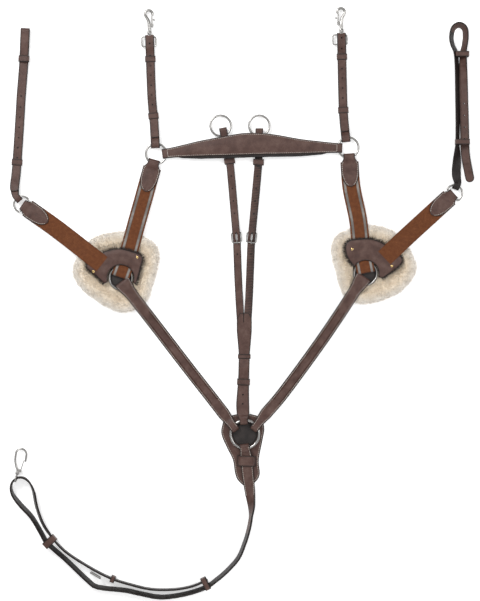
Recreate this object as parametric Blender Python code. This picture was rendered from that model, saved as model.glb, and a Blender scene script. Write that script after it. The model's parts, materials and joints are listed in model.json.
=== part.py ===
"""A five-point breastplate for a horse, laid out flat, with its straps, elastics, rings, snap hooks and pads.

Lengths are written in millimetres and turned into metres when a mesh is made. +Z is up, +Y runs from
the chest towards the withers, and the origin is on the floor, under the centre of the whole object.
"""

import math

import bmesh
import bpy
from mathutils import Matrix, Vector

MM = 0.001
GAP = 0.4
LEATHER = 2.4
ELASTIC = 2.0
REST = 1.8

WITHER_WIRE = 2.5
WITHER_RADIUS = 22.5
SHOULDER_WIRE = 2.5
SHOULDER_RADIUS = 25.0
REIN_WIRE = 2.4
REIN_RADIUS = 22.6
CENTRE_WIRE = 3.0
CENTRE_RADIUS = 31.0
GIRTH_WIRE = 2.2
GIRTH_BOW = 18.0
GIRTH_SIDE = 5.0

STRAP_WIDTH = 20.0
ELASTIC_WIDTH = 40.0
CHEST_WIDTH = 27.0
ARM_WIDTH = 17.0
BELLY_WIDTH = 20.0
BELLY_THICKNESS = 4.2
HOLE_RADIUS = 1.7
KEEPER_LENGTH = 13.5
KEEPER_WALL = 1.3
PAD_HEIGHT = 10.0
GUARD_THICKNESS = 3.0

LOW = REST + LEATHER / 2
UPPER = LOW + LEATHER + 0.6
THIRD = UPPER + LEATHER + 0.6
RING_Z = REST + LEATHER + GAP + WITHER_WIRE

COLOURS = {
    "leather": ((0.075, 0.045, 0.040), 0.45, 0.0),
    "leather_dark": ((0.020, 0.014, 0.013), 0.55, 0.0),
    "elastic": ((0.190, 0.070, 0.025), 0.85, 0.0),
    "fleece": ((0.830, 0.750, 0.610), 0.95, 0.0),
    "nickel": ((0.720, 0.700, 0.670), 0.22, 1.0),
}


# Scene and materials


def clear_scene():
    for found in list(bpy.data.objects):
        bpy.data.objects.remove(found, do_unlink=True)


def material(name):
    found = bpy.data.materials.get(name)
    if found:
        return found
    colour, roughness, metallic = COLOURS[name]
    made = bpy.data.materials.new(name)
    made.use_nodes = True
    shader = made.node_tree.nodes["Principled BSDF"]
    shader.inputs["Base Color"].default_value = (*colour, 1.0)
    shader.inputs["Roughness"].default_value = roughness
    shader.inputs["Metallic"].default_value = metallic
    return made


def make_object(name, bm, finish, origin):
    """One object from a mesh drawn in millimetres, with its own origin at a point given in millimetres."""
    bmesh.ops.recalc_face_normals(bm, faces=bm.faces)
    bmesh.ops.translate(bm, verts=bm.verts, vec=-Vector(origin))
    bmesh.ops.scale(bm, verts=bm.verts, vec=(MM, MM, MM))
    mesh = bpy.data.meshes.new(name)
    bm.to_mesh(mesh)
    bm.free()
    made = bpy.data.objects.new(name, mesh)
    made.location = Vector(origin) * MM
    bpy.context.scene.collection.objects.link(made)
    if finish:
        mesh.materials.append(material(finish))
        mesh.shade_smooth()
        mesh.set_sharp_from_angle(angle=math.radians(35))
    return made


def boolean(target, tool, operation):
    """Adds a Boolean to the target and makes the tool a hidden helper."""
    modifier = target.modifiers.new(tool.name, "BOOLEAN")
    modifier.operation = operation
    modifier.object = tool
    tool.hide_render = True
    tool.display_type = "WIRE"


def pivot(name, point, parent):
    """An empty on a joint's axis, which carries the pieces that move with that joint."""
    made = bpy.data.objects.new(name, None)
    made.empty_display_size = 0.01
    bpy.context.scene.collection.objects.link(made)
    made.parent = parent
    made["point_mm"] = tuple(point)
    base = Vector(parent["point_mm"]) if parent else Vector((0, 0, 0))
    made.location = (Vector(point) - base) * MM
    return made


def carry(holder, *pieces):
    for piece in pieces:
        piece.parent = holder
        piece.location = piece.location - Vector(holder["point_mm"]) * MM


# Curves


def smooth_path(points, steps):
    """Points on a smooth curve through the given points, steps of them to each span."""
    points = [Vector(p) for p in points]
    if len(points) < 3:
        return points
    ends = [2 * points[0] - points[1], *points, 2 * points[-1] - points[-2]]
    path = []
    for i in range(1, len(ends) - 2):
        before, start, end, after = ends[i - 1 : i + 3]
        for step in range(steps):
            t = step / steps
            path.append(
                0.5
                * (
                    2 * start
                    + (end - before) * t
                    + (2 * before - 5 * start + 4 * end - after) * t**2
                    + (3 * start - before - 3 * end + after) * t**3
                )
            )
    path.append(points[-1])
    return path


def arc(centre, radius, first, last, count):
    """Points on an arc in a plane, with its angles in degrees."""
    angles = [math.radians(first + (last - first) * i / (count - 1)) for i in range(count)]
    return [(centre[0] + radius * math.cos(a), centre[1] + radius * math.sin(a)) for a in angles]


class Route:
    """A strap's way across the floor: a smooth plan curve, measured by its length from its start."""

    def __init__(self, points, steps=6):
        self.points = smooth_path([Vector(p).to_2d() for p in points], steps)
        self.lengths = [0.0]
        for a, b in zip(self.points, self.points[1:]):
            self.lengths.append(self.lengths[-1] + (b - a).length)
        self.length = self.lengths[-1]

    def heading(self, index):
        low, high = max(index - 1, 0), min(index + 1, len(self.points) - 1)
        return (self.points[high] - self.points[low]).normalized()

    def at(self, s):
        """The place and the direction at a distance along the route, straight on past its ends."""
        if s <= 0:
            direction = self.heading(0)
            return self.points[0] + direction * s, direction
        if s >= self.length:
            direction = self.heading(len(self.points) - 1)
            return self.points[-1] + direction * (s - self.length), direction
        index = max(i for i, length in enumerate(self.lengths) if length <= s)
        share = (s - self.lengths[index]) / (self.lengths[index + 1] - self.lengths[index])
        place = self.points[index].lerp(self.points[index + 1], share)
        return place, self.heading(index).lerp(self.heading(index + 1), share).normalized()


def between(stops, s):
    """A value that runs straight between stops, each a distance and its value."""
    if s <= stops[0][0]:
        return stops[0][1]
    for (s0, v0), (s1, v1) in zip(stops, stops[1:]):
        if s <= s1:
            return v0 + (v1 - v0) * (s - s0) / (s1 - s0)
    return stops[-1][1]


def spread(points, longest):
    """The same side profile with long spans cut into shorter ones, so that it follows a curved route."""
    result = [points[0]]
    for a, b in zip(points, points[1:]):
        pieces = max(1, math.ceil(abs(b[0] - a[0]) / longest))
        result += [
            (a[0] + (b[0] - a[0]) * i / pieces, a[1] + (b[1] - a[1]) * i / pieces)
            for i in range(1, pieces + 1)
        ]
    return result


# Straps


def loft(bm, rings, closed=False):
    """Skins a row of equal outlines, and caps both ends unless the row closes on itself."""
    loops = [[bm.verts.new(p) for p in ring] for ring in rings]
    pairs = list(zip(loops, loops[1:]))
    if closed:
        pairs.append((loops[-1], loops[0]))
    for a, b in pairs:
        for i in range(len(a)):
            j = (i + 1) % len(a)
            bm.faces.new((a[i], a[j], b[j], b[i]))
    if not closed:
        bm.faces.new(loops[0])
        bm.faces.new(loops[-1])


def strap_section(place, across, up, width, thickness):
    """The four corners of the strap's section."""
    w, t = width / 2, thickness / 2
    return [place + across * x + up * y for x, y in ((w, t), (-w, t), (-w, -t), (w, -t))]


def strap_mesh(bm, route, profile, width, thickness=LEATHER, roll=0.0, closed=False):
    """A strap along a route. The profile lists its distance along the route and its height, in order.

    Width, thickness and roll, in degrees, are numbers or lists of (distance along the route, value).
    """

    def value(given, s):
        return between(given, s) if isinstance(given, list) else given

    places = []
    for s, z in profile:
        place = route.at(s)[0]
        places.append(Vector((place.x, place.y, z)))
    count = len(places)
    rings = []
    for i, (s, _) in enumerate(profile):
        direction = route.at(s)[1]
        if closed:
            tangent = places[(i + 1) % count] - places[i - 1]
        else:
            tangent = places[min(i + 1, count - 1)] - places[max(i - 1, 0)]
        tangent.normalize()
        side = Vector((-direction.y, direction.x, 0))
        across = Matrix.Rotation(math.radians(value(roll, s)), 3, tangent) @ side
        up = tangent.cross(across).normalized()
        rings.append(strap_section(places[i], across, up, value(width, s), value(thickness, s)))
    loft(bm, rings, closed)
    return places


def strap(name, route, profile, width, finish="leather", origin=None, **options):
    bm = bmesh.new()
    places = strap_mesh(bm, route, profile, width, **options)
    return make_object(name, bm, finish, origin or places[0])


def turn_at_start(wire, z, thickness=LEATHER, depth=0.0, lift=0.0, downwards=False):
    """The strap's profile round a bar at distance 0: it comes back along the underside and leaves on top."""
    reach = wire + GAP + thickness / 2
    points = []
    for i in range(7):
        a = math.radians(-90 - 30 * i)
        points.append((reach * math.cos(a) - depth, z + lift / 2 + (reach + lift / 2) * math.sin(a)))
    return points[::-1] if downwards else points


def turn_at_end(at, wire, z, thickness=LEATHER, depth=0.0, lift=0.0, upwards=False):
    """The same at the far end: it comes on top and leaves along the underside."""
    points = [(at - s, h) for s, h in turn_at_start(wire, z, thickness, depth, lift)][::-1]
    return points[::-1] if upwards else points


def punch(target, route, distances, z, sideways=0.0, radius=HOLE_RADIUS, tall=30.0, length=0.0):
    """Round holes through a strap, or slots where a length is given."""
    bm = bmesh.new()
    for s in distances:
        place, direction = route.at(s)
        side = Vector((-direction.y, direction.x)) * sideways
        half = Vector((direction.x, direction.y)) * max(length / 2 - radius, 0.0)
        angle = math.atan2(direction.y, direction.x)
        outline = []
        for i in range(8):
            a = math.pi * (i + 0.5) / 4
            end = half if math.cos(a) > 0 else -half
            spot = Vector((math.cos(a + angle), math.sin(a + angle))) * radius + place + side + end
            outline.append(spot)
        loft(bm, [[(p.x, p.y, h) for p in outline] for h in (z - tall / 2, z + tall / 2)])
    boolean(target, make_object(target.name + "_holes", bm, None, (0, 0, 0)), "DIFFERENCE")


def keeper(name, route, s, low, high, inside, length=KEEPER_LENGTH, roll=0.0, sideways=0.0, finish="leather"):
    """A leather loop round a strap: a short rectangular tube."""
    place, direction = route.at(s)
    along = Vector((direction.x, direction.y, 0))
    across = Vector((-direction.y, direction.x, 0))
    centre = Vector((place.x, place.y, (low + high) / 2)) + across * sideways
    tilt = Matrix.Rotation(math.radians(roll), 3, along)
    across, up = tilt @ across, tilt @ Vector((0, 0, 1))
    bm = bmesh.new()
    rings = []
    for step, grow in ((-1, KEEPER_WALL), (1, KEEPER_WALL), (1, 0), (-1, 0)):
        middle = centre + along * (step * length / 2)
        rings.append(strap_section(middle, across, up, inside + 2 * grow, high - low + 2 * grow))
    loft(bm, rings, closed=True)
    return make_object(name, bm, finish, centre)


# Metalwork


def rod_mesh(bm, path, z, radius, closed=False, sides=8):
    """A round bar along a path in a flat plane. The radius is a number or one for each point."""
    path = [Vector(p) for p in path]
    count = len(path)
    rings = []
    for i, point in enumerate(path):
        if closed:
            tangent = path[(i + 1) % count] - path[i - 1]
        else:
            tangent = path[min(i + 1, count - 1)] - path[max(i - 1, 0)]
        side = Vector((-tangent.y, tangent.x)).normalized()
        r = radius[i] if isinstance(radius, list) else radius
        ring = []
        for k in range(sides):
            a = 2 * math.pi * k / sides
            spot = point + side * (r * math.cos(a))
            ring.append((spot.x, spot.y, z + r * math.sin(a)))
        rings.append(ring)
    loft(bm, rings, closed)


def ring(name, centre, z, radius, wire, segments=28):
    bm = bmesh.new()
    path = arc(centre, radius, 0, 360 * (segments - 1) / segments, segments)
    rod_mesh(bm, path, z, wire, closed=True)
    return make_object(name, bm, "nickel", (centre[0], centre[1], z))


def rounded_box_path(x0, x1, y0, y1, corner):
    """A closed rectangle with round corners, anticlockwise."""
    path = []
    for cx, cy, first in (
        (x1 - corner, y1 - corner, 0),
        (x0 + corner, y1 - corner, 90),
        (x0 + corner, y0 + corner, 180),
        (x1 - corner, y0 + corner, 270),
    ):
        path += arc((cx, cy), corner, first, first + 90, 3)
    return path


def place_local(path, start, direction):
    """Turns points given along and across a direction into points on the floor plan."""
    side = Vector((-direction.y, direction.x))
    return [start + direction * x + side * y for x, y in path]


# Snap straps and their bolt snaps

SNAP_BAR = 1.75
SNAP_Z = REST + LEATHER + GAP + SNAP_BAR
SNAP_FRAME = (21.0, 15.5)
SNAP_WIDTH = 19.5
SNAP_LIFT = 2.6
BELL = (5.2, 13.4, 5.2)
POST_RADIUS = 1.7
HEAD = (8.6, 12.0, 3.3)
BOW_CENTRE = 50.5
BOW_RADIUS = 8.3
BOW_WIRE = 2.6
BOLT_Y = 6.6
BOLT_RADIUS = 1.6
GUIDE = (22.5, 29.5)

SNAPS = {
    "left": {
        "route": ((-190.8, 348.4), (-193.5, 395), (-198.9, 455.6), (-203.5, 583.5)),
        "holes": (60, 86, 107.5, 129, 151, 172.5, 195, 221),
        "keepers": (187.0, 61.5),
        "offset": 2.0,
        "hand": 1,
    },
    "right": {
        "route": ((228.3, 361.8), (224.5, 400), (222, 449), (219, 588)),
        "holes": (87.5, 109.5, 131.5, 152.5, 196, 219.5),
        "keepers": (178.5, 61.0),
        "offset": 3.5,
        "hand": -1,
    },
}


def turned(points, start, direction, hand=1):
    return place_local([(x, y * hand) for x, y in points], start, direction)


def lathe(bm, start, direction, z, stations):
    """A turned piece along a direction in the floor plan: stations are (distance, radius)."""
    rings = []
    side = Vector((-direction.y, direction.x))
    for x, r in stations:
        centre = start + direction * x
        ring_points = []
        for k in range(12):
            a = 2 * math.pi * k / 12
            spot = centre + side * (r * math.cos(a))
            ring_points.append((spot.x, spot.y, z + r * math.sin(a)))
        rings.append(ring_points)
    loft(bm, rings)


def slab(bm, corners, low, high):
    """An upright prism over corners in the floor plan."""
    loft(bm, [[(p[0], p[1], z) for p in corners] for z in (low, high)])


def snap_strap(side, root):
    """A punched strap folded round the wither ring and the snap's frame, which swings on the ring."""
    data = SNAPS[side]
    route = Route(data["route"])
    end = route.length
    fold = turn_at_start(WITHER_WIRE, RING_Z, depth=5.0, lift=SNAP_LIFT, downwards=True)
    profile = [(42, UPPER), (22, UPPER), (12, 9.6), (3, fold[0][1]), *fold, (8, LOW), (end - 6, LOW)]
    profile += turn_at_end(end, SNAP_BAR, SNAP_Z, upwards=True)
    top = SNAP_Z + SNAP_BAR + GAP + LEATHER / 2
    profile += [(end - SNAP_FRAME[0] - 3, top), (end - 36, UPPER), (60, UPPER), (46, THIRD), (25, 10.4), (13, 13.4)]
    made = strap("snap_strap_" + side, route, spread(profile, 30), SNAP_WIDTH)
    punch(made, route, data["holes"], 8.0)
    start, direction = route.at(end)
    slot = bmesh.new()
    corners = turned(((0.6, -3), (9, -3), (9, 3), (0.6, 3)), start, direction)
    slab(slot, corners, SNAP_Z - 3, SNAP_Z + 3)
    boolean(made, make_object(made.name + "_slot", slot, None, (0, 0, 0)), "DIFFERENCE")
    loop = keeper("snap_keeper_" + side, route, data["keepers"][0], REST - 0.3, UPPER + 1.5, SNAP_WIDTH + 1.0)

    wire = route.points[0]
    swing = pivot("snap_swing_" + side, (wire.x, wire.y, RING_Z), root)
    base = snap_base(side, start, direction, data["offset"])
    carry(swing, made, loop, base)
    turn = pivot("snap_turn_" + side, (start.x, start.y, SNAP_Z), swing)
    hook, bolt = bolt_snap(side, start, direction, data["hand"])
    carry(turn, hook)
    slide = pivot("snap_slide_" + side, bolt.location / MM, turn)
    carry(slide, bolt)


def snap_base(side, start, direction, offset):
    """The snap's square frame, with the headed post that its hook turns on."""
    length, half = SNAP_FRAME
    bm = bmesh.new()
    path = rounded_box_path(-length, 0, offset - half, offset + half, 4)
    rod_mesh(bm, turned(path, start, direction), SNAP_Z, SNAP_BAR, closed=True)
    frame = make_object("snap_base_" + side, bm, "nickel", (start.x, start.y, SNAP_Z))
    post = bmesh.new()
    first, last, head = HEAD
    stations = ((-0.6, POST_RADIUS), (first, POST_RADIUS), (first + 0.2, head), (last, head))
    lathe(post, start, direction, SNAP_Z, stations)
    boolean(frame, make_object("snap_post_" + side, post, None, (start.x, start.y, SNAP_Z)), "UNION")
    return frame


def bolt_snap(side, start, direction, hand):
    """The snap's hook, a bell and a curved bow, and the sliding bolt that shuts it."""
    z = SNAP_Z
    origin = (start.x, start.y, z)
    first, last, outer = BELL
    bm = bmesh.new()
    lathe(bm, start, direction, z, ((first, outer - 0.8), (first + 0.8, outer), (last - 3, outer), (last, 3.6)))
    hook = make_object("snap_hook_" + side, bm, "nickel", origin)
    bow = bmesh.new()
    path = [(last - 3, 0), (22, 0), (31, 0.5), (38.5, 2.8), *arc((BOW_CENTRE, 0), BOW_RADIUS, 125, -105, 16)]
    radii = [3.4, 3.4, 3.2, 3.0] + [BOW_WIRE] * 16
    rod_mesh(bow, turned(path, start, direction, hand), z, radii)
    boolean(hook, make_object("snap_bow_" + side, bow, None, origin), "UNION")
    guide = bmesh.new()
    corners = ((GUIDE[0], 0.4), (GUIDE[0], -9.4), (GUIDE[1], -9.4), (GUIDE[1], 0.4))
    slab(guide, turned(corners, start, direction, hand), z - 3, z + 3)
    boolean(hook, make_object("snap_guide_" + side, guide, None, origin), "UNION")
    hollow = bmesh.new()
    reach, rear, head = HEAD
    inside = ((first - 1, POST_RADIUS + GAP), (reach - GAP, POST_RADIUS + GAP), (reach - GAP + 0.1, head + GAP))
    lathe(hollow, start, direction, z, (*inside, (rear + GAP, head + GAP)))
    boolean(hook, make_object("snap_hollow_" + side, hollow, None, origin), "DIFFERENCE")
    across = Vector((-direction.y, direction.x)) * hand
    bolt_start = start - across * BOLT_Y
    bore = bmesh.new()
    lathe(bore, bolt_start, direction, z, ((GUIDE[0] - 1, BOLT_RADIUS + 0.3), (GUIDE[1] + 1, BOLT_RADIUS + 0.3)))
    boolean(hook, make_object("snap_bore_" + side, bore, None, origin), "DIFFERENCE")

    rod = bmesh.new()
    lathe(rod, bolt_start, direction, z, ((20.5, BOLT_RADIUS - 0.5), (21, BOLT_RADIUS), (47.4, BOLT_RADIUS)))
    middle = bolt_start + direction * 37.5
    bolt = make_object("snap_bolt_" + side, rod, "nickel", (middle.x, middle.y, z))
    knob = bmesh.new()
    lathe(knob, middle, -across, z, ((0, 1.2), (3.4, 1.2), (4.2, 2.1), (5.6, 2.3), (6.6, 1.3)))
    boolean(bolt, make_object("snap_knob_" + side, knob, None, origin), "UNION")
    return hook, bolt


# Elastics, their leather ends and the shoulder rings

SHOULDER_Z = 11.3
PAD_DISH = 5.6
PATCH_Z = 16.6
PATCH_HOLE = 28.5
ELASTIC_Z = LOW + LEATHER / 2 + 0.3 + ELASTIC / 2
CHAPE_TOP = ELASTIC_Z + ELASTIC / 2 + 0.3 + LEATHER / 2
CHAPE_WIDTH = [(0, 25), (4, 28), (13, 40), (36, 39), (50, 32), (59, 21), (64, 7)]
CHAPE_STEPS = (64, 59, 50, 36, 24, 13)

SHOULDERS = {
    "left": {
        "wither_ring": (-189, 326),
        "ring": (-266.6, 52.8),
        "elastic": ((-195.1, 304.4), (-205.5, 268), (-229.6, 180.4), (-251.5, 101.2), (-259.8, 76.8)),
        "girth": ((-307, 83), (-400, 155), (-445, 187.5), (-480, 212)),
        "pad": (
            (-369, 79), (-358, 37), (-303, -6), (-257, -21), (-212, 2), (-198, 37), (-184, 92),
            (-191, 125), (-224, 145), (-274, 153), (-332, 136),
        ),
        "patch": (
            (-303, 40), (-320, 57), (-338, 72), (-341, 82), (-322, 99), (-303, 110), (-272, 117),
            (-243, 111), (-219, 100), (-223, 76), (-229, 53), (-234, 38),
        ),
        "arch": (196, -20),
    },
    "right": {
        "wither_ring": (234, 340),
        "ring": (271.7, 62.7),
        "elastic": ((236, 317.5), (241, 253), (255.3, 180.4), (261.7, 121), (268, 87.4)),
        "girth": ((312.4, 96.8), (356, 138), (402.6, 180.4), (463.4, 236)),
        "pad": (
            (198, 113), (210, 146), (250, 163), (290, 167), (332, 155), (365, 118), (382, 79),
            (372, 49), (340, 18), (293, 1), (256, -2), (224, 18), (209, 62),
        ),
        "patch": (
            (244, 81), (231, 99), (227, 122), (235, 134), (258, 138), (285, 138), (311, 128),
            (335, 112), (352, 95), (346, 80), (323, 62), (308, 52),
        ),
        "arch": (178, -16),
    },
}


def chape(name, route, wire, z, depth):
    """A pointed leather end folded round a ring, with an elastic held between its two halves."""
    fold = turn_at_start(wire, z, depth=depth)
    width = [(s, CHAPE_WIDTH[0][1] if s <= 0 else w) for s, w in CHAPE_WIDTH]
    profile = [(s, LOW) for s in CHAPE_STEPS] + [(5, LOW), *fold, (4, fold[-1][1] - 0.6)]
    profile += [(s, CHAPE_TOP) for s in CHAPE_STEPS[::-1]]
    return strap(name, route, profile, width)


def shoulder_elastic(side):
    """The elastic from the chape to the shoulder ring, which it goes over, round and back under."""
    route = Route(SHOULDERS[side]["elastic"])
    end = route.length
    rim = PAD_HEIGHT + 2 + GAP + ELASTIC / 2
    fold = turn_at_end(end, SHOULDER_WIRE, SHOULDER_Z, thickness=ELASTIC, depth=16.4)
    profile = [(9, ELASTIC_Z), (75, ELASTIC_Z), (end - 105, rim), (end - 52, rim), (end - 30, 10.8), (end - 12, 10.8)]
    profile += [(end - 5, fold[0][1]), *fold, (end - 30, fold[-1][1])]
    return strap("shoulder_elastic_" + side, route, spread(profile, 25), ELASTIC_WIDTH, "elastic", thickness=ELASTIC)


def outline_plate(name, outline, levels, finish, steps=3):
    """A flat piece over a smooth outline. Levels are (height, how far the outline is drawn in)."""
    points = [Vector(p) for p in outline]
    wrapped = [points[-2], points[-1], *points, points[0], points[1]]
    path = smooth_path(wrapped, steps)[2 * steps :][: len(points) * steps]
    middle = sum(path, Vector((0, 0))) / len(path)
    bm = bmesh.new()
    rings = []
    for z, inset in levels:
        ring_points = []
        for p in path:
            away = p - middle
            q = middle + away * (1 - inset / away.length)
            ring_points.append((q.x, q.y, z))
        rings.append(ring_points)
    loft(bm, rings)
    return make_object(name, bm, finish, (middle.x, middle.y, levels[0][0]))


def sheepskin_pad(side):
    """A fleece pad: a soft rim round a hollow where the straps meet."""
    top = PAD_HEIGHT + 2
    levels = ((0, 9), (3, 1.5), (7, 0), (10.6, 3.5), (top, 10), (top, 19), (PAD_DISH, 27))
    return outline_plate("sheepskin_pad_" + side, SHOULDERS[side]["pad"], levels, "fleece")


def shoulder_patch(side):
    """A leather arch that covers the straps above the shoulder ring and leaves its hole open."""
    data = SHOULDERS[side]
    first, last = data["arch"]
    hole = arc(data["ring"], PATCH_HOLE, last, first, 17)
    outline = [*data["patch"], *hole]
    bm = bmesh.new()
    slab(bm, outline, PATCH_Z, PATCH_Z + LEATHER)
    return make_object("shoulder_patch_" + side, bm, "leather", (*data["ring"], PATCH_Z))


def girth_elastic(side):
    """The elastic from the shoulder patch out to the girth ring's chape."""
    route = Route(SHOULDERS[side]["girth"])
    end = route.length
    rim = PAD_HEIGHT + 2 + GAP + ELASTIC / 2
    over = PATCH_Z + LEATHER + GAP + ELASTIC / 2
    profile = [(0, over), (40, over), (68, rim), (100, 8), (end - 75, ELASTIC_Z), (end - 9, ELASTIC_Z)]
    return strap("girth_elastic_" + side, route, spread(profile, 25), ELASTIC_WIDTH, "elastic", thickness=ELASTIC)


# Girth rings and girth straps

GIRTH_Z = REST + LEATHER + GAP + GIRTH_WIRE
GIRTH_LIFT = 3.0
GIRTH_WIDTH = [(6, 15.0), (24, STRAP_WIDTH)]
GIRTH_STRAPS = {
    "left": {
        "bow": 125,
        "route": ((-500.5, 253), (-497.5, 280), (-494.5, 320), (-490, 388), (-486, 455), (-480.5, 526), (-477, 598)),
        "holes": (90, 112, 134, 157, 179, 201, 226),
        "keeper": 74.0,
    },
}


def girth_ring(side, root):
    """The D-shaped ring at the end of the girth elastic, hinged in its chape by its straight bar."""
    route = Route(SHOULDERS[side]["girth"])
    start, direction = route.at(route.length)
    bow = arc((GIRTH_SIDE, 0), GIRTH_BOW, 90, -90, 13)
    path = [(0, -GIRTH_BOW + 3), (0, -6), (0, 6), (0, GIRTH_BOW - 3), (1.2, GIRTH_BOW - 0.6), *bow]
    path.append((1.2, -GIRTH_BOW + 0.6))
    bm = bmesh.new()
    rod_mesh(bm, turned(path, start, direction), GIRTH_Z, GIRTH_WIRE, closed=True)
    hinge = pivot("girth_ring_turn_" + side, (start.x, start.y, GIRTH_Z), root)
    carry(hinge, make_object("girth_ring_" + side, bm, "nickel", (start.x, start.y, GIRTH_Z)))
    return hinge, start, direction


def bow_points(start, direction, angle):
    """A point on the D ring's bow, at an angle in the floor plan, and one straight out from it."""
    centre = start + direction * GIRTH_SIDE
    out = Vector((math.cos(math.radians(angle)), math.sin(math.radians(angle))))
    return centre + out * GIRTH_BOW, centre + out * (GIRTH_BOW + 7)


def girth_strap_left(hinge, start, direction):
    """The left girth strap lies flat: its end loop is closed on itself and its punched tip lies on top."""
    data = GIRTH_STRAPS["left"]
    wire, beyond = bow_points(start, direction, data["bow"])
    route = Route((wire, beyond, *data["route"]))
    end = route.length
    fold = turn_at_start(GIRTH_WIRE, GIRTH_Z, depth=5.0, lift=GIRTH_LIFT, downwards=True)
    profile = [(46, UPPER), (24, UPPER), (13, 9.6), (3, fold[0][1]), *fold, (8, LOW), (end - 60, LOW)]
    profile += [(end - 6, LOW), *turn_at_end(end, 2.4, LOW + LEATHER / 2 + GAP + 2.4, upwards=True)]
    profile += [(end - 30, 9.6), (end - 62, UPPER), (70, UPPER), (50, THIRD), (30, 10.2), (16, 13.0)]
    made = strap("girth_strap_left", route, spread(profile, 26), GIRTH_WIDTH)
    punch(made, route, data["holes"], 8.0)
    loop = keeper("girth_keeper_left", route, data["keeper"] + 6, REST - 0.3, UPPER + 1.5, STRAP_WIDTH + 1.0)
    swing = pivot("girth_swing_left", (wire.x, wire.y, GIRTH_Z), hinge)
    carry(swing, made, loop)


RIGHT_LOOP = (
    (471.5, 281), (469.5, 315), (471.0, 380), (471.0, 450), (470.5, 515), (468, 548),
    (462, 566), (458.5, 583), (463, 603), (477.5, 611.5), (490.5, 603), (494, 585), (491, 566),
    (487, 548), (486.5, 515), (488.0, 450), (490, 380), (491.5, 330), (497, 295), (503.5, 264),
)


def girth_strap_right(hinge, start, direction):
    """The right girth strap: one leg stands on its edge, its end loop is open and the punched leg lies flat."""
    wire, beyond = bow_points(start, direction, 72)
    route = Route((wire, beyond, *RIGHT_LOOP))
    end = route.length
    fold = turn_at_start(GIRTH_WIRE, GIRTH_Z, depth=5.0, lift=GIRTH_LIFT, downwards=True)
    stand = REST + STRAP_WIDTH / 2 + 0.6
    profile = [(30, 6.8), (14, 9.4), (3, fold[0][1]), *fold, (8, LOW), (34, LOW + 0.4)]
    profile += [(78, stand), (440, stand), (500, 7.0), (end - 75, 6.6), (end - 30, 6.4), (end, 6.2)]
    roll = [(36, 0), (88, 72), (280, 74), (330, 90), (435, 90), (500, 14), (end - 85, 14), (end, 22)]
    made = strap("girth_strap_right", route, spread(profile, 14), GIRTH_WIDTH, roll=roll)
    swing = pivot("girth_swing_right", (wire.x, wire.y, GIRTH_Z), hinge)
    carry(swing, made)


# Wither strap

WITHER_ROUTE = (
    (-166.5, 327), (-92, 337), (-36, 342.7), (4, 346.7), (42, 347.2), (76, 345.6), (128, 341.8), (211.5, 339),
)
WITHER_WIDTH = [
    (0, 21), (20, 23), (75, 34), (130, 43), (170, 48.5), (209, 47.5), (243, 43), (296, 32.5), (360, 23), (378, 21),
]
WITHER_CROWN = 20.5
LINING = 4.4


def wither_strap():
    route = Route(WITHER_ROUTE)
    end = route.length
    first = turn_at_start(WITHER_WIRE, RING_Z, depth=4.4)
    last = turn_at_end(end, WITHER_WIRE, RING_Z, depth=4.4)
    rise = [(110, WITHER_CROWN), (end - 130, WITHER_CROWN)]
    profile = [(48, LOW), (6, LOW), *first, (8, first[-1][1] - 0.2), (28, 12.6), *rise]
    profile += [(end - 28, 12.6), (end - 8, last[0][1] - 0.2), *last, (end - 6, LOW), (end - 48, LOW)]
    strap("wither_strap", route, spread(profile, 22), WITHER_WIDTH)
    down = LEATHER / 2 + 0.3 + LINING / 2
    inner = [(30, 12.8 - down), *[(s, z - down) for s, z in rise], (end - 30, 12.8 - down)]
    width = [(s, w + 5) for s, w in WITHER_WIDTH]
    lower = Route([(x, y - 3.0) for x, y in WITHER_ROUTE])
    strap("wither_lining", lower, spread(inner, 22), width, "leather_dark", thickness=LINING)


# Chest straps, centre ring and chest guard

CENTRE = (6.2, -291.0)
CENTRE_Z = GUARD_THICKNESS + GAP + LEATHER + GAP + CENTRE_WIRE
CHEST_ROUTES = {
    "left": ((-253.9, 31.3), (-202.7, -35.5), (-116.8, -147.5), (-56, -225), (-19.4, -273.5)),
    "right": ((258.6, 41.4), (184.6, -71.7), (94.7, -195.5), (54, -244), (31.4, -272.8)),
}
CHEST_THICKNESS = 5.6


def chest_strap(side):
    """A raised strap from the shoulder ring to the centre ring, folded round both."""
    route = Route(CHEST_ROUTES[side])
    end = route.length
    first = turn_at_start(SHOULDER_WIRE, SHOULDER_Z, depth=7.0)
    last = turn_at_end(end, CENTRE_WIRE, CENTRE_Z, depth=6.5)
    flat = 1.0 + CHEST_THICKNESS / 2
    profile = [(8, first[0][1]), (4, first[0][1]), *first, (6, first[-1][1]), (18, 14.6), (56, 14.6)]
    profile += [(115, flat), (end - 100, flat), (end - 62, 8.6), (end - 18, 9.8), (end - 7, last[0][1])]
    profile += [*last, (end - 8, last[-1][1]), (end - 40, last[-1][1])]
    thickness = [(60, LEATHER), (112, CHEST_THICKNESS), (end - 98, CHEST_THICKNESS), (end - 60, LEATHER)]
    width = [(end - 34, CHEST_WIDTH), (end - 8, 19.0)]
    strap("chest_strap_" + side, route, spread(profile, 30), width, thickness=thickness)


GUARD_OUTLINE = (
    (-43, -270), (-45, -292), (-33, -321), (-20, -348), (-15, -378), (-7, -395), (12, -407),
    (31, -395), (39, -378), (37, -348), (45, -305), (49, -278), (40, -254), (3, -246), (-34, -254),
)


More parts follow.
